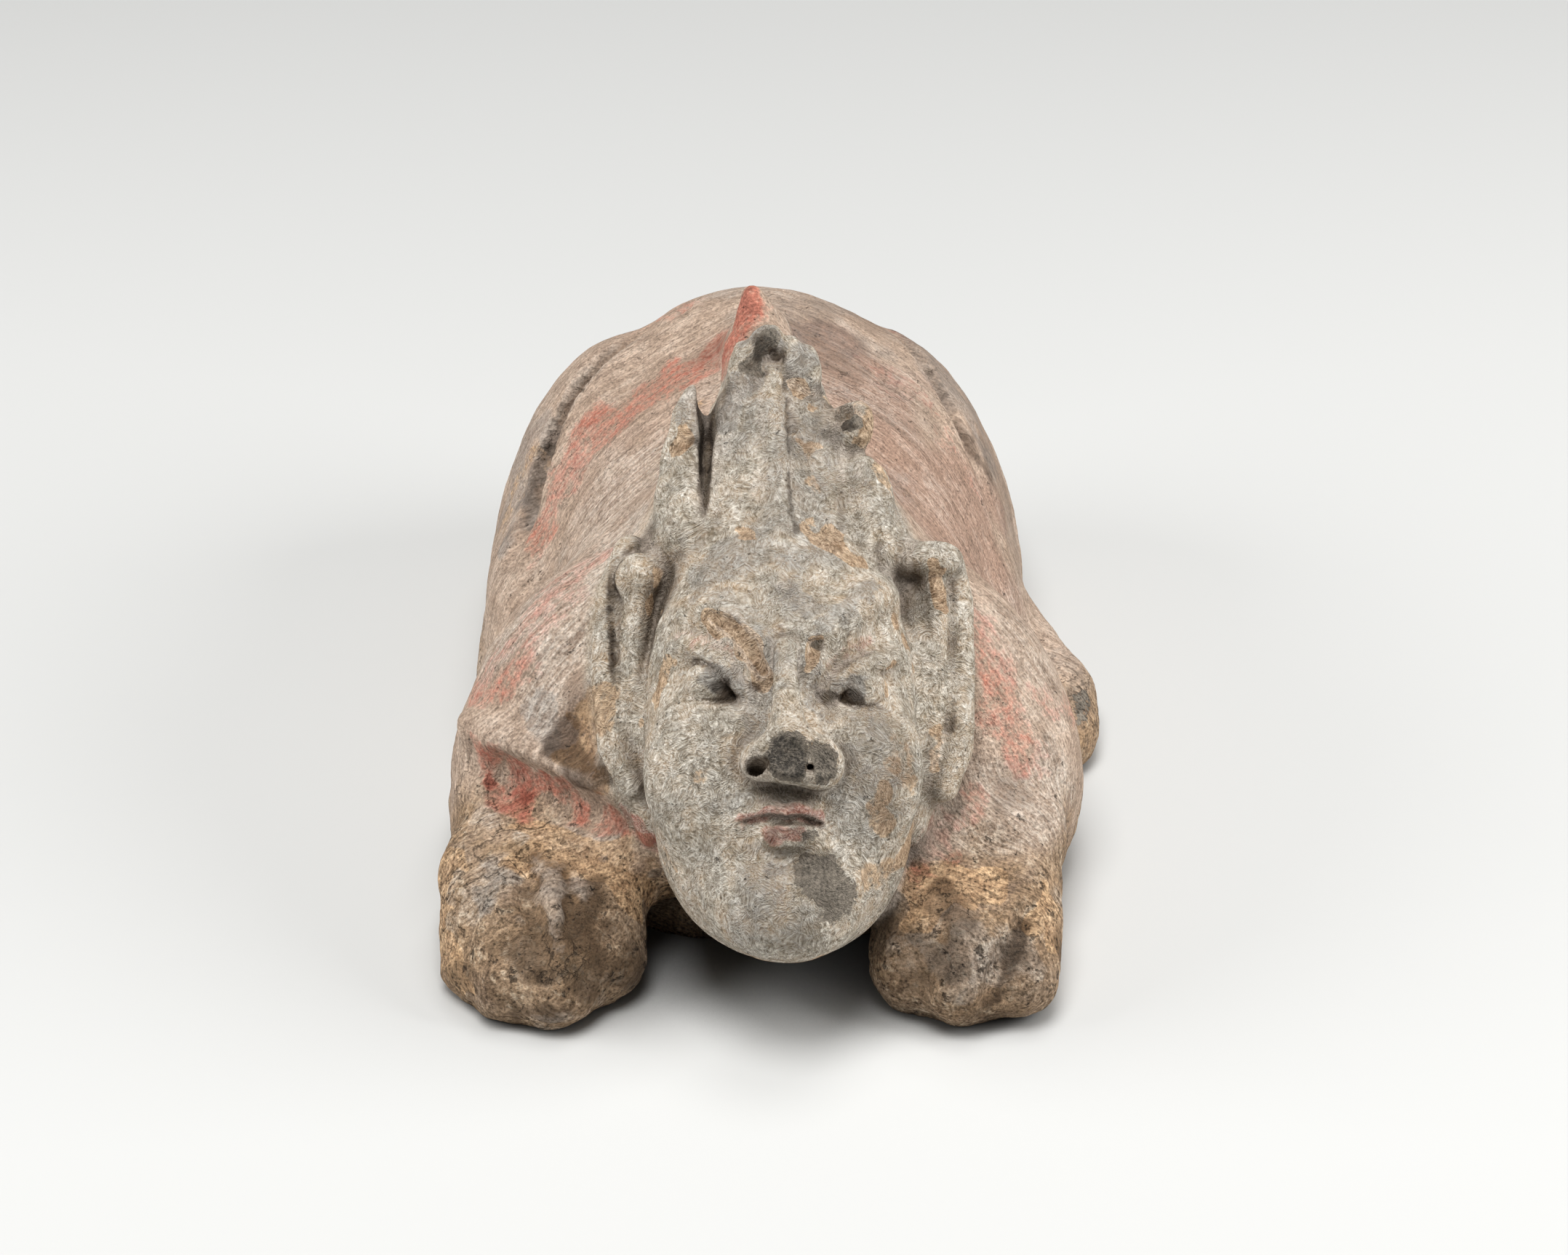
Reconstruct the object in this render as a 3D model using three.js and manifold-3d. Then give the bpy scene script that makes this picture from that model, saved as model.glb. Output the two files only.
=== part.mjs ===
// Tomb guardian beast: a crouching figure of moulded grey earthenware with a man-like face.
// It lies on bent legs with its paws stretched forward and its head thrown back. A tall crest with two
// small horns rises from the forehead and runs back into a spike of mane. The body is a clay shell, open
// underneath, and an arch between the forepaws leads into it. Everything was shaped from one body of clay.
// Millimetres. X is the viewer's right, Y runs from the face to the rump, Z is up.
import * as THREE from "three";
import { mergeVertices } from "three/addons/utils/BufferGeometryUtils.js";
import Module from "manifold-3d";

const { clamp, lerp, degToRad } = THREE.MathUtils;

// Driving sizes. The clay forms are laid out in shares of LENGTH; the others can be set by themselves.
const LENGTH = 291; // chin to rump
const WALL = 11; // thickness of the clay shell over the hollow
const ARCH_WIDTH = 64; // opening between the forelegs under the chin
const ARCH_HEIGHT = 21; // its crown above the floor

// The layout unit: a millimetre when the figure has the length that its forms were laid out at.
const LAID_OUT_LENGTH = 291;
const UNIT = LENGTH / LAID_OUT_LENGTH;

// Spacing of the surface points, in layout units: close on the face, widening towards the rump.
const FACE_STEP = 3.4;
const FACE_CLOSE = { focus: [3, -132, 80], spread: 82 };
const HOLLOW_STEP = 12;
const EVEN = { focus: [0, 0, 0], spread: 1e6 };
const RELAX_ROUNDS = 4; // times that the points are evened out
const RELAX_SHARE = 0.5; // of the way to the middle of their neighbours
const PULL_SHARE = 0.25; // of their spacing, the furthest that they are then pulled onto the surface
const FLOOR_MARGIN = 8; // the forms run on below the floor, where they are then cut off flat

// Forms are signed distances in layout units: negative inside the clay, zero on its surface.

const smoothUnion = (a, b, blend) => {
  const overlap = Math.max(blend - Math.abs(a - b), 0) / blend;
  return Math.min(a, b) - (overlap * overlap * blend) / 4;
};
const smoothCut = (a, b, blend) => -smoothUnion(-a, b, blend);

// An egg-shaped lump of clay, turned by degrees about X, Y and Z.
function lump(centre, radii, turn = [0, 0, 0]) {
  const [cx, cy, cz] = centre;
  const [rx, ry, rz] = radii;
  const angles = new THREE.Euler(...turn.map(degToRad), "ZYX");
  const m = new THREE.Matrix4().makeRotationFromEuler(angles).transpose().elements;
  return (x, y, z) => {
    const dx = x - cx;
    const dy = y - cy;
    const dz = z - cz;
    const lx = (m[0] * dx + m[4] * dy + m[8] * dz) / rx;
    const ly = (m[1] * dx + m[5] * dy + m[9] * dz) / ry;
    const lz = (m[2] * dx + m[6] * dy + m[10] * dz) / rz;
    const scaled = Math.hypot(lx, ly, lz);
    const slope = Math.hypot(lx / rx, ly / ry, lz / rz);
    return slope < 1e-9 ? -Math.min(rx, ry, rz) : (scaled * (scaled - 1)) / slope;
  };
}

// A roll of clay through points, each [x, y, z, radius].
function roll(points, blend = 3) {
  const pieces = points.slice(1).map((end, i) => {
    const start = points[i];
    const [ax, ay, az, radius] = start;
    const [dx, dy, dz] = [end[0] - ax, end[1] - ay, end[2] - az];
    const squared = dx * dx + dy * dy + dz * dz;
    return (x, y, z) => {
      const t = clamp(((x - ax) * dx + (y - ay) * dy + (z - az) * dz) / squared, 0, 1);
      return Math.hypot(x - ax - t * dx, y - ay - t * dy, z - az - t * dz) - lerp(radius, end[3], t);
    };
  });
  return (x, y, z) => pieces.reduce((d, piece) => smoothUnion(d, piece(x, y, z), blend), Infinity);
}

const join = (blend, ...forms) => (x, y, z) =>
  forms.reduce((d, form) => smoothUnion(d, form(x, y, z), blend), Infinity);
const cut = (blend, form, ...tools) => (x, y, z) =>
  tools.reduce((d, tool) => smoothCut(d, tool(x, y, z), blend), form(x, y, z));

// A form laid out in its own frame, which stands at a place and leans back by degrees.
function placed(form, [px, py, pz], lean) {
  const c = Math.cos(degToRad(lean));
  const s = Math.sin(degToRad(lean));
  return (x, y, z) => form(x - px, c * (y - py) - s * (z - pz), s * (y - py) + c * (z - pz));
}

// Body: chest, belly and rump run into one dome. inset takes the wall off for the hollow inside.
function torso(inset = 0) {
  const masses = [
    { at: [0, -38, 28], radii: [74, 58, 82] },
    { at: [0, 30, 28], radii: [71, 85, 82] },
    { at: [-2, 84, 34], radii: [62, 54, 77] },
  ];
  return join(24, ...masses.map(({ at, radii }) => lump(at, radii.map((r) => r - inset))));
}

// Folded hind leg on one side: thigh, knee, and a foot that reaches forward along the floor.
// out sets the thigh and knee further from the body.
function hindLeg(side, out, footFront) {
  const thigh = lump([side * (51 + out), 76, 42], [24, 54, 54], [0, side * -18, 0]);
  const knee = lump([side * (63 + out), 34, 28], [15, 42, 30]);
  const foot = roll([
    [side * (72 + out), 42, 14, 15],
    [side * 85, 16, 12, 13.5],
    [side * (86 - out), footFront + 12, 9, 12.5],
  ]);
  return join(8, thigh, knee, foot);
}

// Foreleg on one side: shoulder, forearm along the floor, paw with its toes.
function foreLeg(side, pawX, pawHalfWidth) {
  const shoulder = join(
    10,
    lump([side * 51, -44, 43], [34, 38, 46], [0, side * -14, 0]),
    lump([side * 60, -58, 38], [28, 28, 26]),
  );
  const forearm = roll([
    [side * 68, -48, 20, 23],
    [pawX + side * 4, -88, 16, 22],
  ]);
  const paw = lump([pawX, -112, 13], [pawHalfWidth, 25, 22]);
  const toes = [-0.62, 0, 0.62].map((share) =>
    roll([
      [pawX + share * pawHalfWidth, -112, 21, 9],
      [pawX + share * pawHalfWidth * 1.05, -124, 10, 10],
    ]),
  );
  return join(9, shoulder, join(8, forearm, join(5, paw, ...toes)));
}

// Head, in its own frame: the face looks along -Y with its chin at -Z.
const HEAD = { at: [4, -92, 68.6], lean: 42 };

// Cranium, jaw, back of the head, chin and the two cheeks.
function skull() {
  return join(
    10,
    lump([0, 2, 6], [37.5, 34, 57]),
    lump([1, -1, -29], [33.5, 29, 32]),
    lump([0, 26, 14], [36, 30, 44]),
    lump([0, -21, -47], [18, 14, 15]),
    lump([-18, -17, -12], [18, 15, 20]),
    lump([20, -17, -12], [18, 15, 20]),
  );
}

function brow(side) {
  return roll([
    [1 + side * 6, -31, 17, 5.5],
    [1 + side * 14, -30, 23, 5.5],
    [1 + side * 26, -22, 32, 4.5],
  ]);
}

// Bulging eye under a lid that slants down to the nose.
function eye(side) {
  const x = 1.5 + side * 20;
  const ball = lump([x, -26, 10], [8.5, 6.5, 7], [0, side * -28, 0]);
  const lid = roll([
    [x - side * 12, -30, 4, 1.8],
    [x - side * 2, -31.5, 14.5, 2],
    [x + side * 8, -25, 20, 1.8],
  ]);
  return join(2, ball, lid);
}

const eyeHollow = (side) => lump([1.5 + side * 18, -36, 8], [13, 6.5, 8], [0, side * -25, 0]);

function nose() {
  const bridge = roll([
    [0.5, -33, 18, 4],
    [0, -38, 0, 5],
    [-0.5, -43, -13, 7],
  ]);
  const wings = join(3, lump([-9.5, -35, -15.5], [6.5, 8, 6]), lump([8, -35, -15.5], [6.5, 8, 6]));
  return join(5, bridge, wings);
}

function mouth() {
  return join(2, lump([-1, -32.5, -29], [12.5, 6, 3.6]), lump([-1, -31.5, -36.5], [10, 6, 4.2]));
}

const mouthSlit = () => lump([-1, -39, -32.7], [12, 5, 2.2]);

// Long ear: a plate with a rolled rim, a knob at its top and a hollow inside the rim. It lies on the neck.
function ear(side, reach) {
  const x = (share) => side * (36 + reach * share);
  const root = lump([x(0.1), 20, 20], [13, 18, 36]);
  const plate = lump([x(0.4), 8, 20], [9, 10, 34], [0, side * 3, 0]);
  const rim = roll([
    [x(0.35), 5, 50, 5],
    [x(0.8), 6, 38, 5],
    [x(0.85), 6, 20, 5],
    [x(0.7), 3, 2, 5.5],
    [x(0.3), 0, -9, 6],
  ]);
  const knob = lump([x(0.3), 0, 44], [7, 7, 8]);
  const hollow = roll([
    [x(0.45), -3, 34, 3.2],
    [x(0.45), -3, 12, 3.2],
  ]);
  return join(4, cut(4, join(5, root, plate, rim), hollow), knob);
}

function head() {
  const sides = [-1, 1];
  const face = cut(6, skull(), ...sides.map(eyeHollow));
  const features = join(4, face, nose(), ...sides.map(brow));
  const withEyes = join(2, features, ...sides.map(eye), mouth());
  return join(4, cut(3, withEyes, mouthSlit()), ear(-1, 12), ear(1, 14));
}

// Crest, in its own frame: it lies back from the hairline along +Y, its face is up.
const CREST = { at: [4, -60, 117], lean: -31, length: 56, rootHalfWidth: 34, tipHalfWidth: 13, thickness: 30 };

// A thick plate with rounded edges that narrows from the hairline to the tip, a keel along its middle
// and a blunt horn on each edge.
function crest() {
  const { length, rootHalfWidth, tipHalfWidth, thickness } = CREST;
  const plate = (x, y, z) => {
    const share = clamp(y / length, -0.4, 1);
    const across = Math.abs(x + 2 * share) / lerp(rootHalfWidth, tipHalfWidth, share);
    const deep = Math.abs(z / (thickness / 2) + 0.93);
    const along = Math.abs(y / length - 0.42) / 0.62;
    return ((across ** 3 + deep ** 3 + along ** 4) ** 0.3 - 1) * tipHalfWidth;
  };
  const keel = roll([
    [0, -6, 0, 3],
    [-1, length * 0.5, 1, 3],
    [-2, length, 0, 4],
  ]);
  const horns = [-1, 1].map((side) =>
    roll([
      [side * 30, 4, -10, 7],
      [side * 27.5, 22, -3, 5],
      [side * 26 - 1, 32, 2, 4],
    ]),
  );
  return join(5, plate, keel, ...horns);
}

// Mane: behind the crest the clay is pinched up to a spike, then falls to the back as a ridge.
function mane() {
  const spike = roll(
    [
      [2, -24, 117, 16],
      [-1, 8, 131, 11],
      [-2, 16, 147, 3.5],
    ],
    8,
  );
  const ridge = roll(
    [
      [-2, 18, 141, 4],
      [-2, 36, 122, 9],
      [-2, 62, 103, 12],
      [-2, 84, 97, 12],
    ],
    8,
  );
  const core = lump([-1, 24, 108], [9, 36, 26]);
  return join(6, spike, ridge, core);
}

function neck() {
  const throat = lump([2, -76, 48], [38, 34, 30]);
  const breast = lump([-1, -79, 42], [56, 27, 26]);
  const nape = lump([2, -30, 92], [34, 40, 34]);
  return join(10, throat, breast, nape);
}

function figure() {
  const legs = [foreLeg(-1, -61.5, 28.5), foreLeg(1, 55, 26), hindLeg(-1, 6, -38), hindLeg(1, 0, -13)];
  const body = join(12, join(14, torso(), neck()), ...legs);
  const top = join(8, placed(head(), HEAD.at, HEAD.lean), placed(crest(), CREST.at, CREST.lean), mane());
  return join(9, body, top);
}

// The arch under the chin, as a cutter that runs from in front of the chest into the hollow.
const ARCH_REACH = { middle: -1.5, front: -108, back: -50 };

function archCutter() {
  const halfWidth = ARCH_WIDTH / 2;
  const corner = ARCH_HEIGHT * 0.6;
  const outline = new THREE.Shape();
  outline.moveTo(-halfWidth, -ARCH_HEIGHT);
  outline.lineTo(halfWidth, -ARCH_HEIGHT);
  outline.lineTo(halfWidth, ARCH_HEIGHT - corner);
  outline.quadraticCurveTo(halfWidth, ARCH_HEIGHT, halfWidth - corner, ARCH_HEIGHT);
  outline.lineTo(corner - halfWidth, ARCH_HEIGHT);
  outline.quadraticCurveTo(-halfWidth, ARCH_HEIGHT, -halfWidth, ARCH_HEIGHT - corner);
  const { middle, front, back } = ARCH_REACH;
  const depth = (back - front) * UNIT;
  return new THREE.ExtrudeGeometry(outline, { depth, bevelEnabled: false, curveSegments: 6 })
    .rotateX(Math.PI / 2)
    .translate(middle * UNIT, back * UNIT, 0);
}

// The grid's lines are bent about its focus, so that its cells widen away from it:
// place = focus + q (1 + (|q| / spread)^2).
function bend(q, { focus, spread }) {
  const squared = q[0] ** 2 + q[1] ** 2 + q[2] ** 2;
  return q.map((value, axis) => focus[axis] + value * (1 + squared / spread ** 2));
}

function unbend(p, { focus, spread }) {
  const away = p.map((value, axis) => value - focus[axis]);
  const distance = Math.hypot(...away);
  let radius = distance;
  for (let i = 0; i < 30; i++) {
    radius -= (radius * (1 + (radius / spread) ** 2) - distance) / (1 + 3 * (radius / spread) ** 2);
  }
  return away.map((value) => (distance > 0 ? (value * radius) / distance : 0));
}

const CORNERS = [0, 1, 2, 3, 4, 5, 6, 7].map((i) => [i & 1, (i >> 1) & 1, i >> 2]);
const EDGES = CORNERS.flatMap((corner, i) =>
  [1, 2, 4].filter((bit) => !(i & bit)).map((bit) => [i, i | bit]),
);

// The sets of a cell's corners that hang together along its edges, for inside or outside corners.
function clusters(inside, wanted) {
  const left = new Set(CORNERS.keys());
  CORNERS.forEach((_, i) => inside[i] === wanted || left.delete(i));
  const found = [];
  while (left.size) {
    const cluster = [left.values().next().value];
    left.delete(cluster[0]);
    for (const i of cluster) {
      for (const j of [i ^ 1, i ^ 2, i ^ 4]) {
        if (left.delete(j)) cluster.push(j);
      }
    }
    found.push(cluster);
  }
  return found;
}

// One closed surface through the places where the form crosses zero: a point in each cell that the
// surface passes, joined across the grid's edges.
function surfaceOf(form, low, high, step, spacing) {
  const ends = [];
  for (const x of [low[0], spacing.focus[0], high[0]]) {
    for (const y of [low[1], spacing.focus[1], high[1]]) {
      for (const z of [low[2], spacing.focus[2], high[2]]) ends.push(unbend([x, y, z], spacing));
    }
  }
  const start = [0, 1, 2].map((axis) => Math.min(...ends.map((end) => end[axis])) - step);
  const stop = [0, 1, 2].map((axis) => Math.max(...ends.map((end) => end[axis])) + step);
  const size = start.map((value, axis) => Math.ceil((stop[axis] - value) / step) + 1);
  const at = (i, j, k) => i + size[0] * (j + size[1] * k);
  const places = new Float64Array(3 * size[0] * size[1] * size[2]);
  const values = new Float64Array(size[0] * size[1] * size[2]);
  for (let k = 0; k < size[2]; k++) {
    for (let j = 0; j < size[1]; j++) {
      for (let i = 0; i < size[0]; i++) {
        const p = bend([start[0] + i * step, start[1] + j * step, start[2] + k * step], spacing);
        const rim = i === 0 || j === 0 || k === 0 || i === size[0] - 1 || j === size[1] - 1 || k === size[2] - 1;
        places.set(p, 3 * at(i, j, k));
        values[at(i, j, k)] = rim ? step : form(...p);
      }
    }
  }

  // Where two surfaces pass through one cell, the gap is finer than the grid and is filled.
  const cellCorners = (i, j, k) => CORNERS.map(([a, b, c]) => at(i + a, j + b, k + c));
  let changed = true;
  while (changed) {
    changed = false;
    for (let k = 0; k < size[2] - 1; k++) {
      for (let j = 0; j < size[1] - 1; j++) {
        for (let i = 0; i < size[0] - 1; i++) {
          const corners = cellCorners(i, j, k);
          const inside = corners.map((c) => values[c] < 0);
          const count = inside.filter(Boolean).length;
          if (count < 2 || count > 6) continue;
          const outer = clusters(inside, false);
          if (outer.length < 2 && clusters(inside, true).length < 2) continue;
          const open = corners.filter((c) => values[c] >= 0);
          const nearest = open.reduce((a, b) => (values[a] <= values[b] ? a : b));
          values[nearest] = -0.05 * step;
          changed = true;
        }
      }
    }
  }

  const points = [];
  const pointOf = new Int32Array(values.length).fill(-1);
  for (let k = 0; k < size[2] - 1; k++) {
    for (let j = 0; j < size[1] - 1; j++) {
      for (let i = 0; i < size[0] - 1; i++) {
        const corners = cellCorners(i, j, k);
        const crossed = EDGES.filter(([a, b]) => values[corners[a]] < 0 !== values[corners[b]] < 0);
        if (!crossed.length) continue;
        const sum = [0, 0, 0];
        for (const [a, b] of crossed) {
          const [va, vb] = [values[corners[a]], values[corners[b]]];
          const t = clamp(va / (va - vb), 0.02, 0.98);
          for (let axis = 0; axis < 3; axis++) {
            sum[axis] += lerp(places[3 * corners[a] + axis], places[3 * corners[b] + axis], t);
          }
        }
        pointOf[at(i, j, k)] = points.length / 3;
        points.push(...sum.map((total) => total / crossed.length));
      }
    }
  }

  const triangles = [];
  const apart = (a, b) =>
    Math.hypot(...[0, 1, 2].map((axis) => points[3 * a + axis] - points[3 * b + axis]));
  const strides = [1, size[0], size[0] * size[1]];
  for (let k = 1; k < size[2] - 1; k++) {
    for (let j = 1; j < size[1] - 1; j++) {
      for (let i = 1; i < size[0] - 1; i++) {
        for (let axis = 0; axis < 3; axis++) {
          const here = at(i, j, k);
          const inside = values[here] < 0;
          if (inside === values[here + strides[axis]] < 0) continue;
          const [u, v] = [strides[(axis + 1) % 3], strides[(axis + 2) % 3]];
          const ring = [here - u - v, here - v, here, here - u].map((cell) => pointOf[cell]);
          if (!inside) ring.reverse();
          const [a, b, c, d] = ring;
          if (apart(a, c) <= apart(b, d)) triangles.push(a, b, c, a, c, d);
          else triangles.push(a, b, d, b, c, d);
        }
      }
    }
  }
  relax(form, points, triangles);
  return { points: Float32Array.from(points), triangles: Uint32Array.from(triangles) };
}

// Evens out the points: each moves towards the middle of its neighbours and then back onto the surface.
function relax(form, points, triangles) {
  const neighbours = Array.from({ length: points.length / 3 }, () => new Set());
  for (let i = 0; i < triangles.length; i += 3) {
    const [a, b, c] = [triangles[i], triangles[i + 1], triangles[i + 2]];
    neighbours[a].add(b).add(c);
    neighbours[b].add(a).add(c);
    neighbours[c].add(a).add(b);
  }
  for (let round = 0; round < RELAX_ROUNDS; round++) {
    const before = points.slice();
    neighbours.forEach((around, i) => {
      const place = [0, 1, 2].map((axis) => before[3 * i + axis]);
      const middle = [0, 0, 0];
      let apart = 0;
      for (const j of around) {
        const there = [0, 1, 2].map((axis) => before[3 * j + axis]);
        apart += Math.hypot(...there.map((value, axis) => value - place[axis])) / around.size;
        for (let axis = 0; axis < 3; axis++) middle[axis] += there[axis] / around.size;
      }
      const moved = place.map((value, axis) => lerp(value, middle[axis], RELAX_SHARE));
      const onto = ontoSurface(form, moved, apart * PULL_SHARE);
      for (let axis = 0; axis < 3; axis++) points[3 * i + axis] = onto[axis];
    });
  }
}

// Moves a place straight towards the surface of a form, by no more than the reach.
function ontoSurface(form, place, reach) {
  const probe = 0.25;
  const value = form(...place);
  const slope = [0, 1, 2].map((axis) => {
    const beside = place.slice();
    beside[axis] += probe;
    return (form(...beside) - value) / probe;
  });
  const steep = slope.reduce((sum, part) => sum + part * part, 0);
  if (steep < 0.04) return place;
  const pull = clamp(value / Math.sqrt(steep), -reach, reach) / Math.sqrt(steep);
  const onto = place.map((coordinate, axis) => coordinate - pull * slope[axis]);
  return Math.abs(form(...onto)) < Math.abs(value) ? onto : place;
}

const wasm = await Module();
wasm.setup();

const solidOf = ({ points, triangles }) =>
  new wasm.Manifold(new wasm.Mesh({ numProp: 3, vertProperties: points, triVerts: triangles }));

function geometryOf(solid) {
  const { vertProperties, numProp, triVerts } = solid.getMesh();
  const count = vertProperties.length / numProp;
  const positions = new Float32Array(3 * count);
  for (let i = 0; i < count; i++) positions.set(vertProperties.subarray(i * numProp, i * numProp + 3), 3 * i);
  const geometry = new THREE.BufferGeometry();
  geometry.setAttribute("position", new THREE.BufferAttribute(positions, 3));
  geometry.setIndex(new THREE.BufferAttribute(Uint32Array.from(triVerts), 1));
  geometry.computeVertexNormals();
  return geometry;
}

function solidOfGeometry(shaded) {
  const geometry = shaded.clone();
  geometry.deleteAttribute("uv");
  geometry.deleteAttribute("normal");
  const merged = mergeVertices(geometry);
  return solidOf({
    points: Float32Array.from(merged.attributes.position.array),
    triangles: Uint32Array.from(merged.index.array),
  });
}

// The clay, standing on the flat cut at Z = 0 with the middle of its footprint at X = Y = 0.
function build() {
  const aboveMargin = (form) => (x, y, z) => Math.max(form(x, y, z), -FLOOR_MARGIN - z);
  const [low, high] = [[-104, -158, -FLOOR_MARGIN], [104, 146, 158]];
  const clay = solidOf(surfaceOf(aboveMargin(figure()), low, high, FACE_STEP, FACE_CLOSE));
  const hollow = solidOf(surfaceOf(aboveMargin(torso(WALL / UNIT)), low, high, HOLLOW_STEP, EVEN));
  const [width, length, depth] = [2 * LENGTH, 2 * LENGTH, 60];
  const ground = new THREE.BoxGeometry(width, length, depth).translate(0, 0, -depth / 2);
  const standing = clay
    .subtract(hollow)
    .scale([UNIT, UNIT, UNIT])
    .subtract(solidOfGeometry(archCutter()))
    .subtract(solidOfGeometry(ground));
  const { min, max } = standing.boundingBox();
  return standing.translate([-(min[0] + max[0]) / 2, -(min[1] + max[1]) / 2, 0]);
}

const clayMaterial = new THREE.MeshStandardMaterial({ color: 0x8a857c, roughness: 0.9 });
const beast = new THREE.Mesh(geometryOf(build()), clayMaterial);
beast.name = "tomb_guardian_beast";

const group = new THREE.Group();
group.name = "tomb_guardian";
group.add(beast);

export default group;
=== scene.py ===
import math
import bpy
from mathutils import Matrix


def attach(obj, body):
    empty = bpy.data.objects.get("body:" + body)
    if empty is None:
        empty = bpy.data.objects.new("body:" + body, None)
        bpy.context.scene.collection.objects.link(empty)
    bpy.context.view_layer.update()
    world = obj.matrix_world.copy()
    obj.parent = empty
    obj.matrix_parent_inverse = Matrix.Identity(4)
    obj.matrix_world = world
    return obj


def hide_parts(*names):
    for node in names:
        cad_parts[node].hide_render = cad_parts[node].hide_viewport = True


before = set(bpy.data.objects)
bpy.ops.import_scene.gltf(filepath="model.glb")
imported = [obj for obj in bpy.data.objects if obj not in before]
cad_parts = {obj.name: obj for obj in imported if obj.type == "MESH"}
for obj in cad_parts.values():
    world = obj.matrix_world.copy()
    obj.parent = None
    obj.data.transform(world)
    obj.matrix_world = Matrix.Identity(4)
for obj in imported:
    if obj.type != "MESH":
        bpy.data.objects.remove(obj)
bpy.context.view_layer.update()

from concurrent.futures import ThreadPoolExecutor

import bpy
import numpy as np
from mathutils import Matrix, Vector

# Tomb guardian beast: a crouching earthenware figure, worn, with traces of red and white paint.
# The clay is modelled once more from the solid's own forms, in finer steps and with the small relief.
# Layout millimetres: X is the viewer's right, Y runs from the face to the rump, Z is up.

WALL = 11  # thickness of the clay shell over the hollow
ARCH_WIDTH = 64  # opening between the forelegs under the chin
ARCH_HEIGHT = 21  # its crown above the floor
ROW_SHIFT = (0.0, 7.75, 0.0)  # from the layout to the part's own frame
MM = 0.001

# Forms are signed distances at an array of points: negative inside the clay, zero on its surface.


def smooth_union(a, b, blend):
    overlap = np.maximum(blend - np.abs(a - b), 0) / blend
    return np.minimum(a, b) - overlap * overlap * blend / 4


def smooth_cut(a, b, blend):
    return -smooth_union(-a, b, blend)


def turned(angles):
    """The matrix that turns about X, then Y, then Z, by degrees."""
    a, b, c = (math.radians(angle) for angle in angles)
    about_x = [[1, 0, 0], [0, math.cos(a), -math.sin(a)], [0, math.sin(a), math.cos(a)]]
    about_y = [[math.cos(b), 0, math.sin(b)], [0, 1, 0], [-math.sin(b), 0, math.cos(b)]]
    about_z = [[math.cos(c), -math.sin(c), 0], [math.sin(c), math.cos(c), 0], [0, 0, 1]]
    return np.array(about_z) @ about_y @ about_x


def lump(centre, radii, turn=(0, 0, 0)):
    """An egg-shaped lump of clay."""
    centre, radii, matrix = np.array(centre, float), np.array(radii, float), turned(turn)
    upright = not any(turn)

    def form(p):
        away = p - centre
        scaled = (away if upright else away @ matrix) / radii
        length = np.sqrt((scaled * scaled).sum(1))
        scaled /= radii
        slope = np.sqrt((scaled * scaled).sum(1))
        return length * (length - 1) / np.maximum(slope, 1e-9)

    return form


def roll(points):
    """A roll of clay through points, each (x, y, z, radius)."""
    points = np.array(points, float)

    def form(p):
        total = None
        for start, end in zip(points[:-1], points[1:]):
            along = end[:3] - start[:3]
            away = p - start[:3]
            t = np.clip(away @ (along / (along @ along)), 0, 1)
            away -= t[:, None] * along
            piece = np.sqrt((away * away).sum(1)) - (start[3] + (end[3] - start[3]) * t)
            total = piece if total is None else np.minimum(total, piece)
        return total

    return form


def join(blend, *forms):
    def form(p):
        total = forms[0](p)
        for other in forms[1:]:
            total = smooth_union(total, other(p), blend)
        return total

    return form


def cut(blend, form, *tools):
    def cut_form(p):
        total = form(p)
        for tool in tools:
            total = smooth_cut(total, tool(p), blend)
        return total

    return cut_form


def into_frame(points, at, lean):
    """Points as seen in a frame that stands at a place and leans back by degrees."""
    c, s = math.cos(math.radians(lean)), math.sin(math.radians(lean))
    return (points - np.array(at, float)) @ np.array([[1, 0, 0], [0, c, s], [0, -s, c]])


def placed(form, at, lean):
    return lambda p: form(into_frame(p, at, lean))


def torso(inset=0):
    masses = [((0, -38, 28), (74, 58, 82)), ((0, 30, 28), (71, 85, 82)), ((-2, 84, 34), (62, 54, 77))]
    return join(24, *[lump(at, [r - inset for r in radii]) for at, radii in masses])


def hind_leg(side, out, knee_top, foot):
    thigh = lump((side * (51 + out), 76, 42), (24, 54, 54), (0, side * -18, 0))
    knee = lump((side * (63 + out), 34, knee_top - 30), (15, 42, 30))
    return join(8, thigh, knee, roll(foot))


LEFT_FOOT = [(-72, 42, 14, 15), (-73, 16, 12, 13.5), (-72, -20, 9, 12.5)]
RIGHT_FOOT = [(72, 42, 14, 15), (85, 16, 12, 13.5), (86, -1, 9, 12.5)]


def fore_leg(side, paw_x, toes):
    """Shoulder, forearm along the floor and a paw whose toes, each (x, front, radius), lie side by side."""
    shoulder = join(
        10,
        lump((side * 51, -44, 42), (34, 38, 45), (0, side * -14, 0)),
        lump((side * 60, -58, 37), (28, 28, 26)),
    )
    forearm = roll([(side * 67, -48, 20, 23), (paw_x + side * 4, -90, 14, 22)])
    fingers = [
        roll([(x, -93, 24, r + 1), (x, front + 22, 24 - r * 0.2, r), (x, front + r, r, r)])
        for x, front, r in toes
    ]
    pad = lump((paw_x, -107, 8), (25, 22, 20))
    return join(9, shoulder, join(8, forearm, pad, join(5, *fingers)))


LEFT_TOES = [(-80, -124, 9.5), (-70, -134.5, 10.5), (-57.5, -137.5, 12), (-45, -126, 12.5)]
RIGHT_TOES = [(41, -131, 12), (54, -139.5, 12.5), (68.5, -135.5, 11.5)]


HEAD_AT, HEAD_LEAN = (4, -92, 68.6), 42


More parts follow.
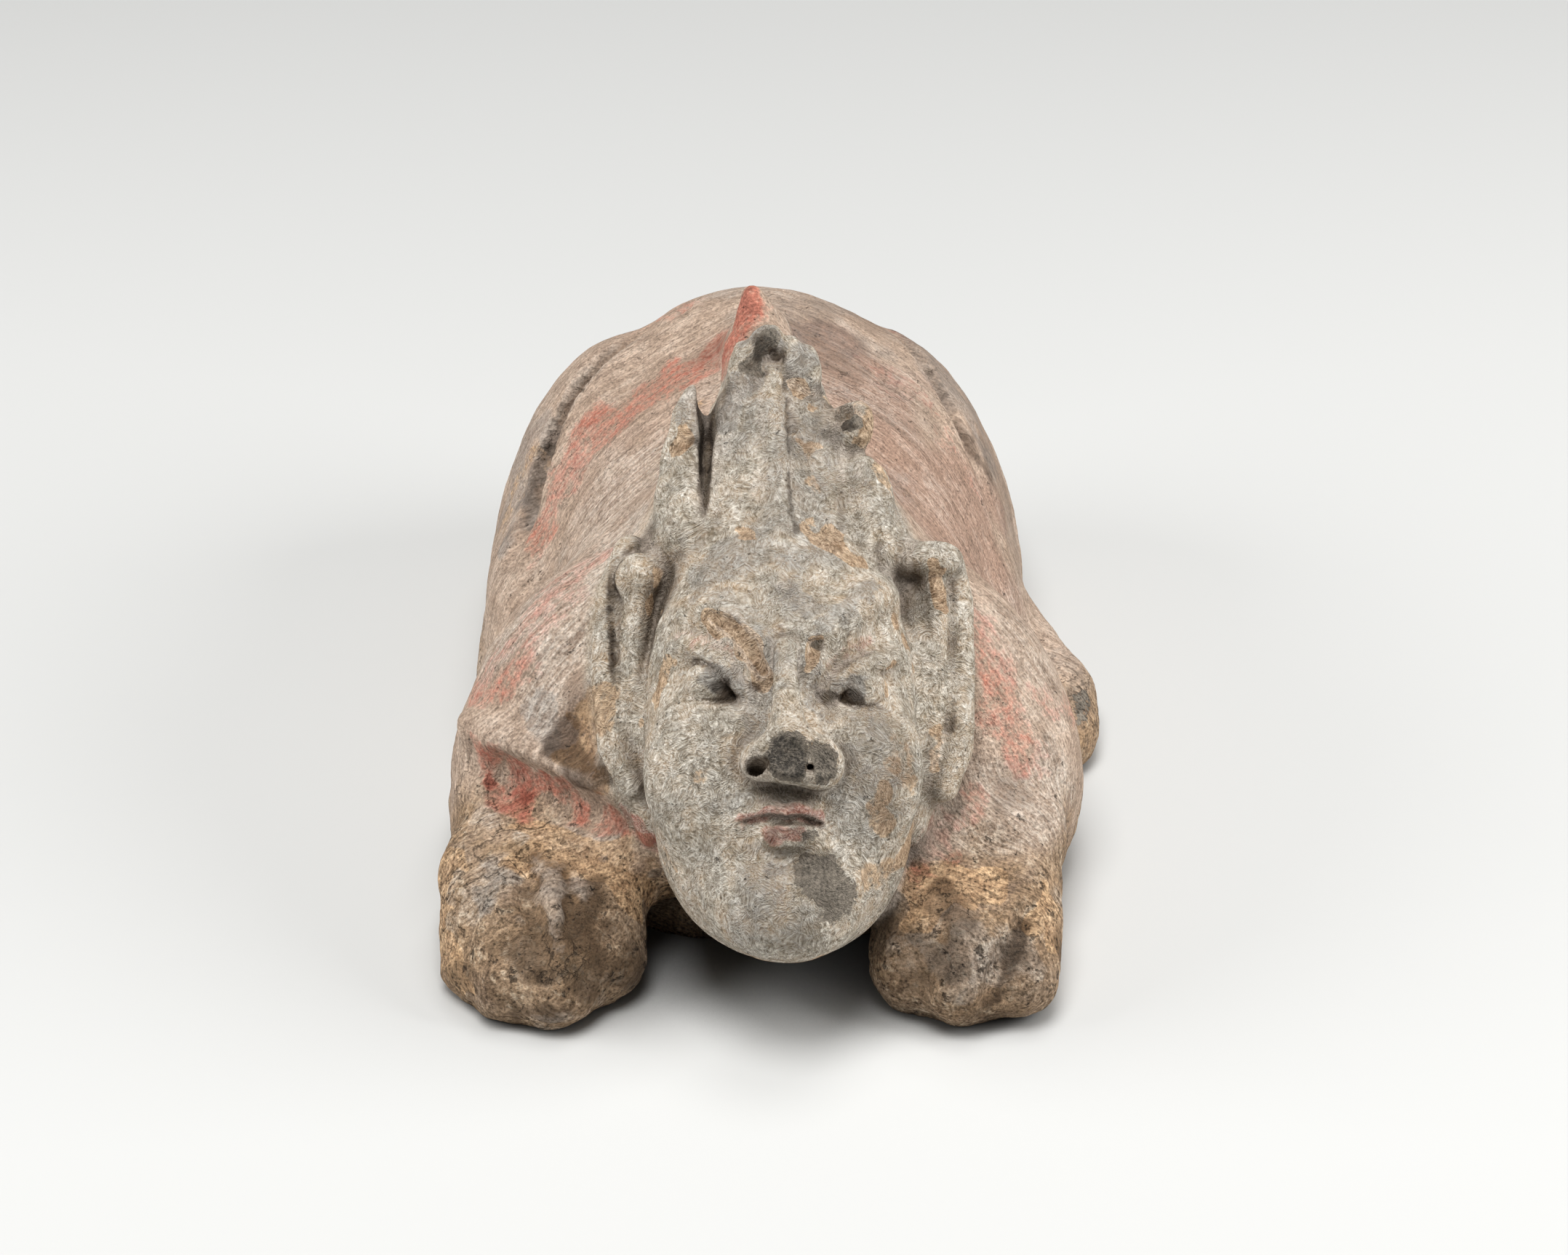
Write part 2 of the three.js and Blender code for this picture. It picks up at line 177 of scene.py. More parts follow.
def skull():
    return join(
        10,
        lump((0, 2, 6), (37.5, 34, 57)),
        lump((1.2, -1, -28.5), (33, 29, 32)),
        lump((0, 26, 14), (36, 30, 44)),
        lump((2, -20.5, -47.5), (18.5, 15, 15.5)),
        lump((-18, -17, -12), (18, 15, 20)),
        lump((21, -17, -11), (17, 15, 19)),
        lump((1, -21, -25), (15, 13, 10)),
    )


# The face is cut a little askew, so each side has its own places. Brows and lids are rolls with points
# (x, y, z, radius), and the socket that holds the ball is turned outwards by degrees.
BALL_RADII, SOCKET_RADII = (6.8, 6.6, 6.6), (12.5, 11.6, 7.4)
LEFT_EYE = {
    "turn": 25,
    "ball": (-18.8, -23.6, 10.8),
    "brow": [(-4.4, -29.8, 13, 3.8), (-7.5, -29.6, 20, 4.6), (-12.6, -27.6, 26, 4.8),
             (-19, -23.8, 29.6, 4.6),
             (-25.2, -16.8, 30.5, 4), (-29, -10.5, 28, 3)],
    "lid": [(-6.6, -28, 6.8, 2), (-10.2, -28.8, 9.4, 2.4), (-14.2, -29, 14.2, 2.5),
            (-18.8, -27.6, 18.8, 2.5),
            (-23.2, -23.8, 20.8, 2.6), (-28.4, -17, 21.5, 2.4)],
    "under": [(-23.4, -23.3, 7, 1.5), (-19.3, -26, 3.2, 1.8), (-14.8, -27.2, 1.8, 1.8),
              (-9.6, -28, 3.6, 1.4)],
    "hollow": (-16.8, -35, 11.6),
}
RIGHT_EYE = {
    "turn": -25,
    "ball": (21.8, -23.2, 9.2),
    "brow": [(7.4, -30.2, 15, 3.8), (9.8, -30, 21.6, 4.4), (15.4, -27, 27.6, 4.6), (21.8, -21.8, 33, 4.2),
             (26, -12.5, 37.5, 3.6), (28, -4, 38, 3)],
    "lid": [(11.4, -28.3, 6, 2), (15.2, -28.8, 10, 2.4), (19.7, -28, 13.6, 2.5), (25, -24.8, 16.6, 2.6),
            (31, -17.4, 19.4, 2.4)],
    "under": [(14.2, -27.4, 4.2, 1.4), (18.8, -26.8, 2.4, 1.8), (24.4, -23.8, 3.6, 1.8),
              (28.4, -20.6, 7.6, 1.5)],
    "hollow": (20.6, -35, 9.6),
}


def nose():
    bridge = roll([(1.4, -33.4, 19, 2.8), (1.5, -38, 8.6, 3.2), (1.8, -40.6, 0, 4.2),
                   (2.4, -41.6, -6.5, 5.8)])
    flanks = roll([(1.5, -28, 17, 3.6), (2.4, -29.6, 4, 6.6), (3.2, -30, -7, 9.6)])
    tip = lump((3, -41.4, -11), (9, 7.6, 7.2))
    wings = join(2, lump((-5.6, -36, -11.6), (5, 7.4, 5.2)), lump((10.6, -37, -12.4), (6.4, 8, 6.8)))
    whole = join(3.5, join(2.5, bridge, flanks), join(5.5, tip, wings))
    nostrils = [
        lump((-6, -43, -13.6), (3, 8, 1.7), (-14, 16, 0)),
        roll([(7.4, -48, -15.6, 0.9), (7.8, -41, -13.2, 0.8)]),
    ]
    # The tip is broken off flat, and the wing beside it is chipped.
    breaks = [
        lump((2, -55, -12.5), (10.5, 9, 10), (14, 0, 0)),
        lump((13.4, -51.4, -13), (8, 8, 10), (0, 18, 0)),
    ]
    under = lump((2.5, -44.2, -24.9), (13, 8.4, 5.7))
    return cut(0.8, whole, *breaks, *nostrils, under)


def lips():
    upper = roll([(-9.6, -31.6, -25.4, 1.4), (-3.1, -35, -24, 2.3), (1.4, -35.2, -24.8, 2.1),
                  (5.2, -35, -24, 2.3), (10, -31.2, -25.4, 1.4)])
    lower = cut(0.8, lump((2, -31, -31), (8.8, 7, 4.1)), lump((2.4, -49, -32), (20, 12.6, 12)))
    slit = roll([(-11, -32.4, -27.8, 0.8), (-6, -35, -26.8, 1), (-2, -36.4, -26.5, 1.1),
                 (1.4, -36.6, -27.3, 1.2), (5.6, -35.8, -26.7, 1.1), (10.6, -32.4, -27.8, 0.8)])
    return join(1.5, upper, lower), slit


def ear(side, knob, rim, ridge, grooves):
    """Long ear that lies on the neck: rolled rim, knob at the top, a ridge inside and grooves beside it."""
    root = lump((side * 37.5, 20, 20), (13, 18, 36))
    plate = lump((side * 41, 9, 20), (8, 10, 33), (0, side * 3, 0))
    web = lump((side * 35.6, 8, 6), (8, 10.4, 34))
    body = cut(1.5, join(4, root, plate, web, roll(rim)), *[roll(groove) for groove in grooves])
    return join(2, body, roll(ridge), lump(*knob))


def left_ear():
    return ear(
        -1,
        knob=((-39.2, -1.2, 44), (6.2, 6.4, 6.6)),
        rim=[(-42, 4, 53, 3.6), (-47.4, 3, 41, 3.2), (-48.4, 3.5, 18, 3.5), (-45.4, 1.4, -2, 4.4),
             (-40, 1, -13, 4)],
        ridge=[(-38.6, -1, 38, 3.8), (-39.4, -0.4, 25, 4), (-40, 1, 9, 3)],
        grooves=[
            [(-41, -2, 53, 1.4), (-45, -1.2, 45, 2), (-45.4, -1, 36, 1.7), (-45, -1, 27, 1.2),
             (-44.4, -1, 16, 1)],
            [(-33.4, -5, 37, 1.4), (-33.2, -4.4, 29, 2.1), (-34.6, -3.2, 16, 1)],
        ],
    )


def right_ear():
    return ear(
        1,
        knob=((42.8, 1.5, 49.5), (7.4, 6.4, 5.2)),
        rim=[(47.5, 6, 49, 3.4), (49.8, 5, 39, 3.3), (50, 5, 16, 3.5), (48.4, 4, -2, 4.4),
             (44.5, 3, -13, 4.2)],
        ridge=[(42.6, 1, 44, 2.6), (43.2, 0.6, 32, 2.6), (42.6, 1, 11, 2.4), (41.6, 1, -4, 1.8)],
        grooves=[
            [(47, 0.2, 44, 1.1), (47.2, -0.4, 34, 1), (46.8, 0.2, 26, 1.2), (47, -0.6, 14, 0.8),
             (46, 0.4, 3, 1.2)],
            [(38.4, -6, 49, 1.6), (38.6, -5.4, 41, 2.2), (40, -4, 32, 1.5), (40.6, -3.4, 18, 0.8)],
        ],
    )


def head():
    eyes = (LEFT_EYE, RIGHT_EYE)
    sockets = [lump(e["hollow"], SOCKET_RADII, (0, e["turn"], 0)) for e in eyes]
    folds = [
        roll([(-11, -37.5, -14.5, 2), (-15, -36.4, -19.8, 3), (-14, -35, -25, 2.2)]),
        roll([(17.2, -37, -14, 2), (18.4, -36, -19.8, 3), (15, -35.4, -25, 2.2)]),
        lump((1.8, -39.8, -38), (13, 7.4, 3.6)),
        roll([(1.6, -37, -19.5, 1.4), (1.5, -36.8, -22.6, 1.4)]),
    ]
    keel = roll([(-0.6, -9, 63, 2.6), (-0.4, -18.4, 50, 2.4), (0.4, -27, 37, 1)])
    face = join(3, cut(5, cut(4, skull(), *sockets), *folds), keel)
    face = join(6, face, *[roll(e["brow"]) for e in eyes])
    face = join(3.5, face, *[roll(e["lid"]) for e in eyes])
    face = join(2.5, face, nose(), *[roll(e["under"]) for e in eyes])
    face = join(0.6, face, *[lump(e["ball"], BALL_RADII) for e in eyes])
    lip_form, slit = lips()
    face = cut(0.7, join(1.2, face, lip_form), slit)
    # Flaked clay on the left brow, and wrinkles above the brows.
    flakes = [
        roll([(-4.6, -34, 13, 1.6), (-8.4, -34.4, 19.6, 2.6), (-13, -32.6, 25, 2.4),
              (-19, -29.4, 29, 1.4)]),
        roll([(8, -35.4, 14, 1.6), (9.8, -34.6, 20, 2)]),
        roll([(-3, -31.6, 33, 0.7), (3, -31.2, 33.6, 1), (7, -31.4, 35, 0.6)]),
        roll([(9, -33, 29.6, 0.7), (14, -31.2, 35, 1.3), (20, -28.4, 40, 1), (24, -25, 43, 0.5)]),
        roll([(2, -31.4, 24, 0.6), (4.4, -32, 28, 0.9), (8, -33.4, 31, 0.5)]),
    ]
    return join(2, cut(0.5, face, *flakes), left_ear(), right_ear())


CREST_AT, CREST_LEAN = (4, -60, 117), -31
CREST_LENGTH, CREST_ROOT, CREST_TIP, CREST_THICKNESS = 56, 34, 13, 30
CREST_FALL = 0.14  # the plate falls away on both sides of the keel
CREST_STEP = 1.8  # and lies lower on the right of it


def crest():
    def plate(p):
        x, y, z = p.T
        share = np.clip(y / CREST_LENGTH, -0.4, 1)
        aside = np.abs(x + 2 * share)
        across = aside / (CREST_ROOT + (CREST_TIP - CREST_ROOT) * share)
        lower = CREST_STEP * soft_step(x + 2 * share, 0.6, 2.6)
        deep = np.abs((z + CREST_FALL * aside + lower - 1.4) / (CREST_THICKNESS / 2) + 0.93)
        along = np.abs(y / CREST_LENGTH - 0.42) / 0.62
        return ((across**3 + deep**3 + along**4) ** 0.3 - 1) * CREST_TIP

    keel = roll([(0, -14, 2.2, 2.4), (-1, CREST_LENGTH * 0.5, 2.8, 2.1), (-2, CREST_LENGTH * 0.85, 1.2, 2)])
    left_horn = roll([(-26, 0, -12.5, 9), (-25.6, 22, -8.5, 7.4), (-25, 36, -4.5, 5.2),
                      (-23.4, 42, -1.5, 3)])
    right_horn = roll([(26.5, 0, -12.5, 8.5), (23.5, 18, -9, 7)])
    right_horn = join(3, right_horn, lump((19.8, 33.5, -4.5), (6, 7, 7)))
    tip = join(
        3,
        lump((-2, 54, -4), (12, 8.5, 8)),
        lump((7.5, 49, -1.5), (4, 5, 4)),
        lump((-10, 48, -3), (4, 6.5, 5)),
        lump((-3.5, 57, 2.5), (5, 4.5, 3.5)),
    )
    slot = join(1, lump((-20.4, 28, 0.5), (2.4, 26, 9), (0, 0, -1)), lump((-20.4, 37, 1), (3.4, 13, 8)))
    hollows = [lump((17.4, 35.5, 0.6), (2.8, 3.6, 5)), lump((-1.3, 51.5, 5), (1.9, 2.4, 3.6))]
    return cut(1, join(4, plate, keel, left_horn, right_horn, tip), slot, *hollows)


def mane():
    spike = roll([(2, -24, 117, 16), (-2, 8, 132, 11), (-4, 15, 148.6, 3)])
    ridge = roll([(-3, 18, 143, 4), (-2, 36, 122, 9), (-2, 62, 103, 12), (-2, 84, 97, 12)])
    core = lump((-1, 24, 108), (9, 36, 26))
    return join(6, spike, ridge, core)


def neck():
    throat = lump((2, -76, 48), (38, 34, 30))
    breast = lump((-1, -79, 42), (56, 27, 26))
    nape = lump((2, -30, 92), (34, 40, 34))
    return join(10, throat, breast, nape)


def left_arm_folds():
    """The shoulder hangs over the crook of the arm, and the paw's toes are parted by furrows."""
    ledge = roll([(-82, -62, 53, 5), (-72.5, -71, 54, 6), (-61, -77.5, 53, 6), (-46, -86, 50, 5.5)])
    wrist = roll([(-78, -84, 24, 10.5), (-61, -93, 25, 11), (-45, -97, 21, 11)])
    crook = roll([(-84, -77, 47, 6), (-76, -81, 46.5, 8.4), (-64, -88.5, 46.5, 7.6), (-48, -96.5, 46, 6.4),
                  (-30, -106, 45, 5)])
    pocket = lump((-56, -86, 70), (9, 11, 12))
    furrows = [
        roll([(-66.8, -101, 37, 2), (-65, -111, 35, 4), (-63.4, -120, 32.4, 4.2), (-60.6, -131, 24.6, 3),
              (-59, -137, 17, 1.2)]),
        roll([(-54, -107, 36.5, 1.4), (-53, -117, 33.4, 2.8), (-51.6, -125, 28.4, 2.2),
              (-50, -130, 22, 1.2)]),
        roll([(-74, -104, 36, 0.8), (-78.5, -113, 31, 1.2), (-80, -119, 26, 0.8)]),
    ]
    return join(4, ledge, wrist), [crook, pocket], furrows


def right_arm_folds():
    slope = roll([(54, -86, 34, 12), (70, -83, 32, 13)])
    crook = roll([(36, -108, 42, 3), (50, -109, 40, 2.4), (64, -110, 37.4, 2), (75, -110.5, 34, 1.6)])
    furrows = [
        roll([(73, -113, 35, 1.2), (70.4, -122.5, 30, 2.8), (65.4, -129.4, 24, 3.2), (61.3, -137, 16, 2.4),
              (60, -140, 9, 1)]),
        roll([(48, -118, 34, 0.8), (47.5, -129, 28, 1.6), (47, -137, 18, 1.2)]),
    ]
    notch = lump((77, -114.5, 33), (6, 1.6, 3.4), (0, 20, 24))
    return slope, crook, furrows, notch


def haunch_furrows():
    """Furrows that part the thighs from the back."""
    left = roll([
        (-34, 94, 101, 2),
        (-52, 76, 91.5, 3.6),
        (-61.5, 64, 80, 4.4),
        (-67, 54, 71, 5),
        (-72, 42, 63, 4.6),
        (-78, 25, 55, 3),
    ])
    right = roll([(34, 104, 98.5, 2), (47, 80, 92.5, 2.8), (59, 59, 80.5, 3.2), (67, 49, 69.5, 3.4),
                  (75, 38, 55, 2.4)])
    return left, right


def placed_head():
    return placed(head(), HEAD_AT, HEAD_LEAN)


def placed_crest():
    return placed(crest(), CREST_AT, CREST_LEAN)


def figure():
    legs = [
        fore_leg(-1, -61.5, LEFT_TOES),
        fore_leg(1, 55, RIGHT_TOES),
        hind_leg(-1, 7.5, 58, LEFT_FOOT),
        hind_leg(1, 0, 51, RIGHT_FOOT),
    ]
    folds, hollows, toes = left_arm_folds()
    slope, crook, creases, notch = right_arm_folds()
    body = join(12, join(14, torso(), neck()), *legs)
    body = cut(4, join(6, join(4, body, folds), slope), *hollows, crook)
    body = cut(2.5, body, *haunch_furrows())
    body = cut(2.5, body, *toes, *creases)
    body = cut(0.8, body, notch)
    return join(6, body, join(6, placed_head(), placed_crest(), mane()))


# Surface: one closed skin through the places where a form crosses zero. The grid's lines are bent
# about a focus, so that its cells widen away from it: place = focus + q (1 + (|q| / spread)^2).

CORNERS = np.array([(i & 1, i >> 1 & 1, i >> 2) for i in range(8)])
EDGES = [(i, i | bit) for i in range(8) for bit in (1, 2, 4) if not i & bit]
BLOCK = 4
RELAX_SHARE = 0.5
PULL_SHARE = 0.3
HALF_DIAGONAL = 0.87  # of a cube whose side is 1
NEAR_ENOUGH = 1.4  # blocks whose middle is within this many half diagonals of the skin are worked out
FILL_DEPTH = 0.05  # how deep a filled gap lies in the clay, in steps
END_MARGIN = 0.02  # a crossing keeps this share of an edge away from its ends
LEAST_STEEP = 0.04  # the least squared slope that a point is pulled with
UNBEND_ROUNDS = 30
WORKERS, CHUNK = 4, 20000


def at_points(form, points):
    """A form's values at many points, worked out in chunks side by side."""
    chunks = [points[i : i + CHUNK] for i in range(0, len(points), CHUNK)]
    with ThreadPoolExecutor(WORKERS) as pool:
        return np.concatenate(list(pool.map(form, chunks)))


def bend(q, focus, spread):
    return focus + q * (1 + (q * q).sum(-1, keepdims=True) / spread**2)


def unbend(place, focus, spread):
    away = place - focus
    distance = np.linalg.norm(away, axis=-1, keepdims=True)
    radius = distance.copy()
    for _ in range(UNBEND_ROUNDS):
        radius -= (radius * (1 + (radius / spread) ** 2) - distance) / (1 + 3 * (radius / spread) ** 2)
    return away * np.where(distance > 0, radius / np.maximum(distance, 1e-9), 0)


def hangs_together(corners):
    """Whether a set of a cell's corners is one piece along the cell's edges."""
    if not corners:
        return True
    reached, todo = set(), [min(corners)]
    while todo:
        i = todo.pop()
        if i in corners and i not in reached:
            reached.add(i)
            todo += [i ^ 1, i ^ 2, i ^ 4]
    return reached == corners


def lie_across(pair):
    """Whether two corners of a cell's face lie across it, and not side by side."""
    return bin(min(pair) ^ max(pair)).count("1") == 2


def torn_cells():
    """For each of the 256 ways a cell's corners can lie inside, whether two surfaces meet in it."""
    torn = np.zeros(256, bool)
    faces = [[i for i in range(8) if (i >> axis & 1) == level] for axis in range(3) for level in (0, 1)]
    for code in range(256):
        inside = {i for i in range(8) if code >> i & 1}
        outside = set(range(8)) - inside
        shared = [inside & set(face) for face in faces]
        crossed = any(len(pair) == 2 and lie_across(pair) for pair in shared)
        torn[code] = crossed or not (hangs_together(inside) and hangs_together(outside))
    return torn


def surface_of(form, low, high, step, focus, spread, rounds):
    """Vertices and triangles of the skin of a form between two corners."""
    focus = np.array(focus, float)
    ends = np.meshgrid(*zip(low, focus, high), indexing="ij")
    flat = unbend(np.stack(ends, -1).reshape(-1, 3).astype(float), focus, spread)
    start = flat.min(0) - 2 * step
    blocks = np.ceil((flat.max(0) + 2 * step - start) / (BLOCK * step)).astype(int)
    size = blocks * BLOCK + 1

    # Only blocks that the surface may pass are worked out in full.
    lattice = np.stack(np.meshgrid(*[np.arange(n) for n in blocks], indexing="ij"), -1).reshape(-1, 3)
    middle = start + (lattice + 0.5) * BLOCK * step
    reach = BLOCK * step * HALF_DIAGONAL * (1 + 3 * (middle * middle).sum(1) / spread**2)
    rough = at_points(form, bend(middle, focus, spread))
    near = np.abs(rough) < NEAR_ENOUGH * reach
    values = (np.sign(rough) * step).reshape(blocks)
    for axis in range(3):
        values = np.repeat(values, BLOCK, axis)
    values = np.pad(values, ((0, 1),) * 3, mode="edge").ravel()
    inner = np.stack(np.meshgrid(*[np.arange(BLOCK + 1)] * 3, indexing="ij"), -1).reshape(-1, 3)
    strides = np.array([size[1] * size[2], size[2], 1])
    wanted = np.zeros(len(values), bool)
    wanted[((lattice[near] * BLOCK)[:, None] + inner).reshape(-1, 3) @ strides] = True
    wanted = np.flatnonzero(wanted)

    def grid_point(index):
        return start + np.stack(np.unravel_index(index, size), -1) * step

    values[wanted] = at_points(form, bend(grid_point(wanted), focus, spread))

    # Where two surfaces pass through one cell, the gap is finer than the grid and is filled.
    corner_steps = CORNERS @ strides
    torn = torn_cells()
    while True:
        inside = (values < 0).reshape(size)
        code = np.zeros(size - 1, np.uint8)
        for i, (a, b, c) in enumerate(CORNERS):
            corner = inside[a : a + size[0] - 1, b : b + size[1] - 1, c : c + size[2] - 1]
            code |= corner.astype(np.uint8) << i
        cells = np.stack(np.nonzero((code > 0) & (code < 255)), -1)
        codes = code[tuple(cells.T)]
        cells = cells @ strides
        bad = cells[torn[codes]]
        if not len(bad):
            break
        corners = bad[:, None] + corner_steps
        heights = np.where(values[corners] >= 0, values[corners], np.inf)
        values[corners[np.arange(len(bad)), heights.argmin(1)]] = -FILL_DEPTH * step

    corners = cells[:, None] + corner_steps
    depth = values[corners]
    places = bend(grid_point(corners.ravel()), focus, spread).reshape(-1, 8, 3)
    total, count = np.zeros((len(cells), 3)), np.zeros(len(cells))
    for a, b in EDGES:
        crossed = (depth[:, a] < 0) != (depth[:, b] < 0)
        t = depth[crossed, a] / (depth[crossed, a] - depth[crossed, b])
        t = np.clip(t, END_MARGIN, 1 - END_MARGIN)[:, None]
        total[crossed] += places[crossed, a] * (1 - t) + places[crossed, b] * t
        count[crossed] += 1
    points = total / count[:, None]

    triangles = []
    flags = inside.ravel()
    for axis in range(3):
        across = np.flatnonzero(flags[: -strides[axis]] != flags[strides[axis] :])
        across = across[np.stack(np.unravel_index(across, size), -1)[:, axis] < size[axis] - 1]
        u, v = strides[(axis + 1) % 3], strides[(axis + 2) % 3]
        ring = np.searchsorted(cells, np.stack([across - u - v, across - v, across, across - u], -1))
        ring = np.where(flags[across][:, None], ring, ring[:, ::-1])
        a, b, c, d = ring.T
        first = np.linalg.norm(points[a] - points[c], axis=1)
        second = np.linalg.norm(points[b] - points[d], axis=1)
        short = first <= second
        triangles.append(np.where(short[:, None], np.stack([a, b, c], -1), np.stack([a, b, d], -1)))
        triangles.append(np.where(short[:, None], np.stack([a, c, d], -1), np.stack([b, c, d], -1)))
    triangles = np.concatenate(triangles)
    return relaxed(form, points, triangles, rounds), triangles


def relaxed(form, points, triangles, rounds):
    """Evens the points out: each moves towards the middle of its neighbours and back onto the surface."""
    pairs = np.concatenate([triangles[:, [0, 1]], triangles[:, [1, 2]], triangles[:, [2, 0]]])
    share = np.bincount(pairs[:, 0], minlength=len(points))
    for _ in range(rounds):
        sums = [np.bincount(pairs[:, 0], points[pairs[:, 1], axis], len(points)) for axis in range(3)]
        middle = np.stack(sums, -1) / share[:, None]
        apart = np.linalg.norm(points[pairs[:, 0]] - points[pairs[:, 1]], axis=1)
        apart = np.bincount(pairs[:, 0], apart, len(points)) / share
        moved = points + (middle - points) * RELAX_SHARE
        value, slope = value_and_slope(form, moved)
        steep = np.maximum((slope * slope).sum(1), LEAST_STEEP)
        reach = PULL_SHARE * apart
        pull = np.clip(value / np.sqrt(steep), -reach, reach) / np.sqrt(steep)
        onto = moved - pull[:, None] * slope
        better = np.abs(at_points(form, onto)) < np.abs(value)
        points = np.where(better[:, None], onto, moved)
    return points


def value_and_slope(form, points, probe=0.2):
    value = at_points(form, points)
    slope = [(at_points(form, points + probe * axis) - value) / probe for axis in np.eye(3)]
    return value, np.stack(slope, -1)


def normals_of(form, points):
    _, slope = value_and_slope(form, points)
    return slope / np.maximum(np.linalg.norm(slope, axis=1, keepdims=True), 1e-6)


def noise(points, size, seed):
    """Smooth noise from -1 to 1 with bumps about size across, the same on each run."""
    q = points / size + 31.7 * seed
    cell = np.floor(q).astype(np.int64)
    t = q - cell
    t = t * t * (3 - 2 * t)
    total = np.zeros(len(points))
    for corner in CORNERS:
        x, y, z = (cell + corner).T
        key = (x * 374761393 + y * 668265263 + z * 1440662683 + seed * 974634777) & 0x7FFFFFFF
        key = ((key ^ (key >> 13)) * 1274126177) & 0x7FFFFFFF
        weight = np.prod(np.where(corner, t, 1 - t), 1)
        total += weight * (((key ^ (key >> 16)) & 0xFFFF) / 32768 - 1)
    return total


def soft_step(value, low, high):
    t = np.clip((value - low) / (high - low), 0, 1)
    return t * t * (3 - 2 * t)


def distance_to(line, points):
    """Distance of points from a line through places."""
    line = np.array(line, float)
    if len(line) == 1:
        return np.linalg.norm(points - line[0], axis=1)
    return roll(np.column_stack([line, np.zeros(len(line))]))(points)


def traces(points, table, ragged):
    """How much of something lies at each point: marks are (strength, radius, places)."""
    total = np.zeros(len(points))
    for number, (strength, radius, places) in enumerate(table):
        away = distance_to(places, points) + ragged * radius * noise(points, 0.45 * radius + 1.5, number)
        total = np.maximum(total, strength * soft_step(away, radius, 0.45 * radius))
    return total


# Marks, each (strength, radius, places), on the body in layout millimetres and on the face in the head's
# own frame.
RED_ON_BODY = [
    (0.62, 13, [(-10, 50, 112), (-33, 46, 101), (-49, 43, 90), (-58, 38, 80)]),
    (0.55, 10, [(-58, 38, 80), (-64, 32, 70), (-68, 24, 58)]),
    (0.5, 12, [(-52, -35, 89), (-60, -50, 82), (-70, -58, 70), (-82, -52, 56)]),
    (0.72, 9, [(-78, -74, 51), (-73, -77, 48), (-70, -79, 42)]),
    (1.0, 3.6, [(-77, -76, 43), (-71, -79, 41), (-67, -81, 40)]),
    (0.62, 7.5, [(-64, -83, 45), (-51, -90, 44), (-40, -96, 43), (-30, -103, 42)]),
    (0.85, 6, [(-38, -100, 48), (-32, -106, 44)]),
    (0.75, 8, [(-4, 11, 148), (-9, 5, 142), (-12, 0, 136), (-15, 1, 128)]),
    (0.5, 12, [(58, -57, 82), (63, -69, 70), (69, -77, 56)]),
    (0.5, 7, [(66, -76, 62), (76, -77, 49)]),
    (0.45, 9, [(79, -62, 58), (82, -50, 50)]),
    (0.5, 9, [(46, -96, 42), (42, -106, 38), (56, -91, 44)]),
    (0.35, 12, [(30, 60, 103), (48, 52, 93), (62, 40, 78)]),
    (0.35, 12, [(-30, 96, 104), (-48, 100, 88), (-58, 104, 68)]),
    (0.3, 12, [(30, 104, 100), (52, 100, 84)]),
]
RED_ON_FACE = [
    (0.42, 3.4, [(-27, -20, 23), (-20, -27, 22), (-13, -31, 19)]),
    (0.42, 3.4, [(13, -31, 15), (20, -28, 20), (28, -20, 26)]),
    (0.85, 3, [(-10, -33, -26), (-3, -37, -25), (5, -37, -25), (9, -33, -26.4)]),
    (0.8, 4.4, [(-3, -37, -30.6), (6, -37, -30.6)]),
]
OCHRE_ON_BODY = [
    (1.0, 7, [(15, -66, 118), (21, -69, 114)]),
    (0.9, 2.6, [(-6, -66, 119), (-3, -68, 118)]),
    (0.6, 12, [(-50, -84, 58), (-49, -84, 72)]),
    (0.7, 13, [(-64, -100, 36), (-48, -106, 34), (-34, -106, 36)]),
    (0.7, 12, [(39, -116, 50), (42, -116, 34), (60, -112, 32)]),
    (0.35, 10, [(75, -81, 32), (82, -76, 38)]),
    (0.9, 9, [(79, -117, 26), (85, -108, 18)]),
    (0.75, 8, [(-88, -96, 30), (-89, -112, 17), (-82, -130, 9)]),
    (0.9, 9, [(-34, -106, 34), (-28, -98, 20)]),
    (0.8, 4, [(-32, -70, 96)]),
    (0.8, 4, [(35, -79, 98), (36, -84, 86)]),
    (0.5, 9, [(-70, 60, 66), (-78, 56, 50)]),
    (0.5, 8, [(-22, 24, 112), (-13, -8, 118), (-24, -20, 112)]),
    (0.45, 8, [(-27, -14, 122), (-28, -26, 118)]),
    (0.75, 4, [(-23, -36, 131), (-26, -39, 127)]),
    (0.8, 3, [(8, -22, 140), (12, -27, 137)]),
    (0.6, 6, [(27, -28, 136), (33, -44, 122)]),
    (0.55, 5, [(12, -40, 130), (14, -56, 123)]),
    (0.5, 7, [(8, -6, 134), (12, -18, 133)]),
]
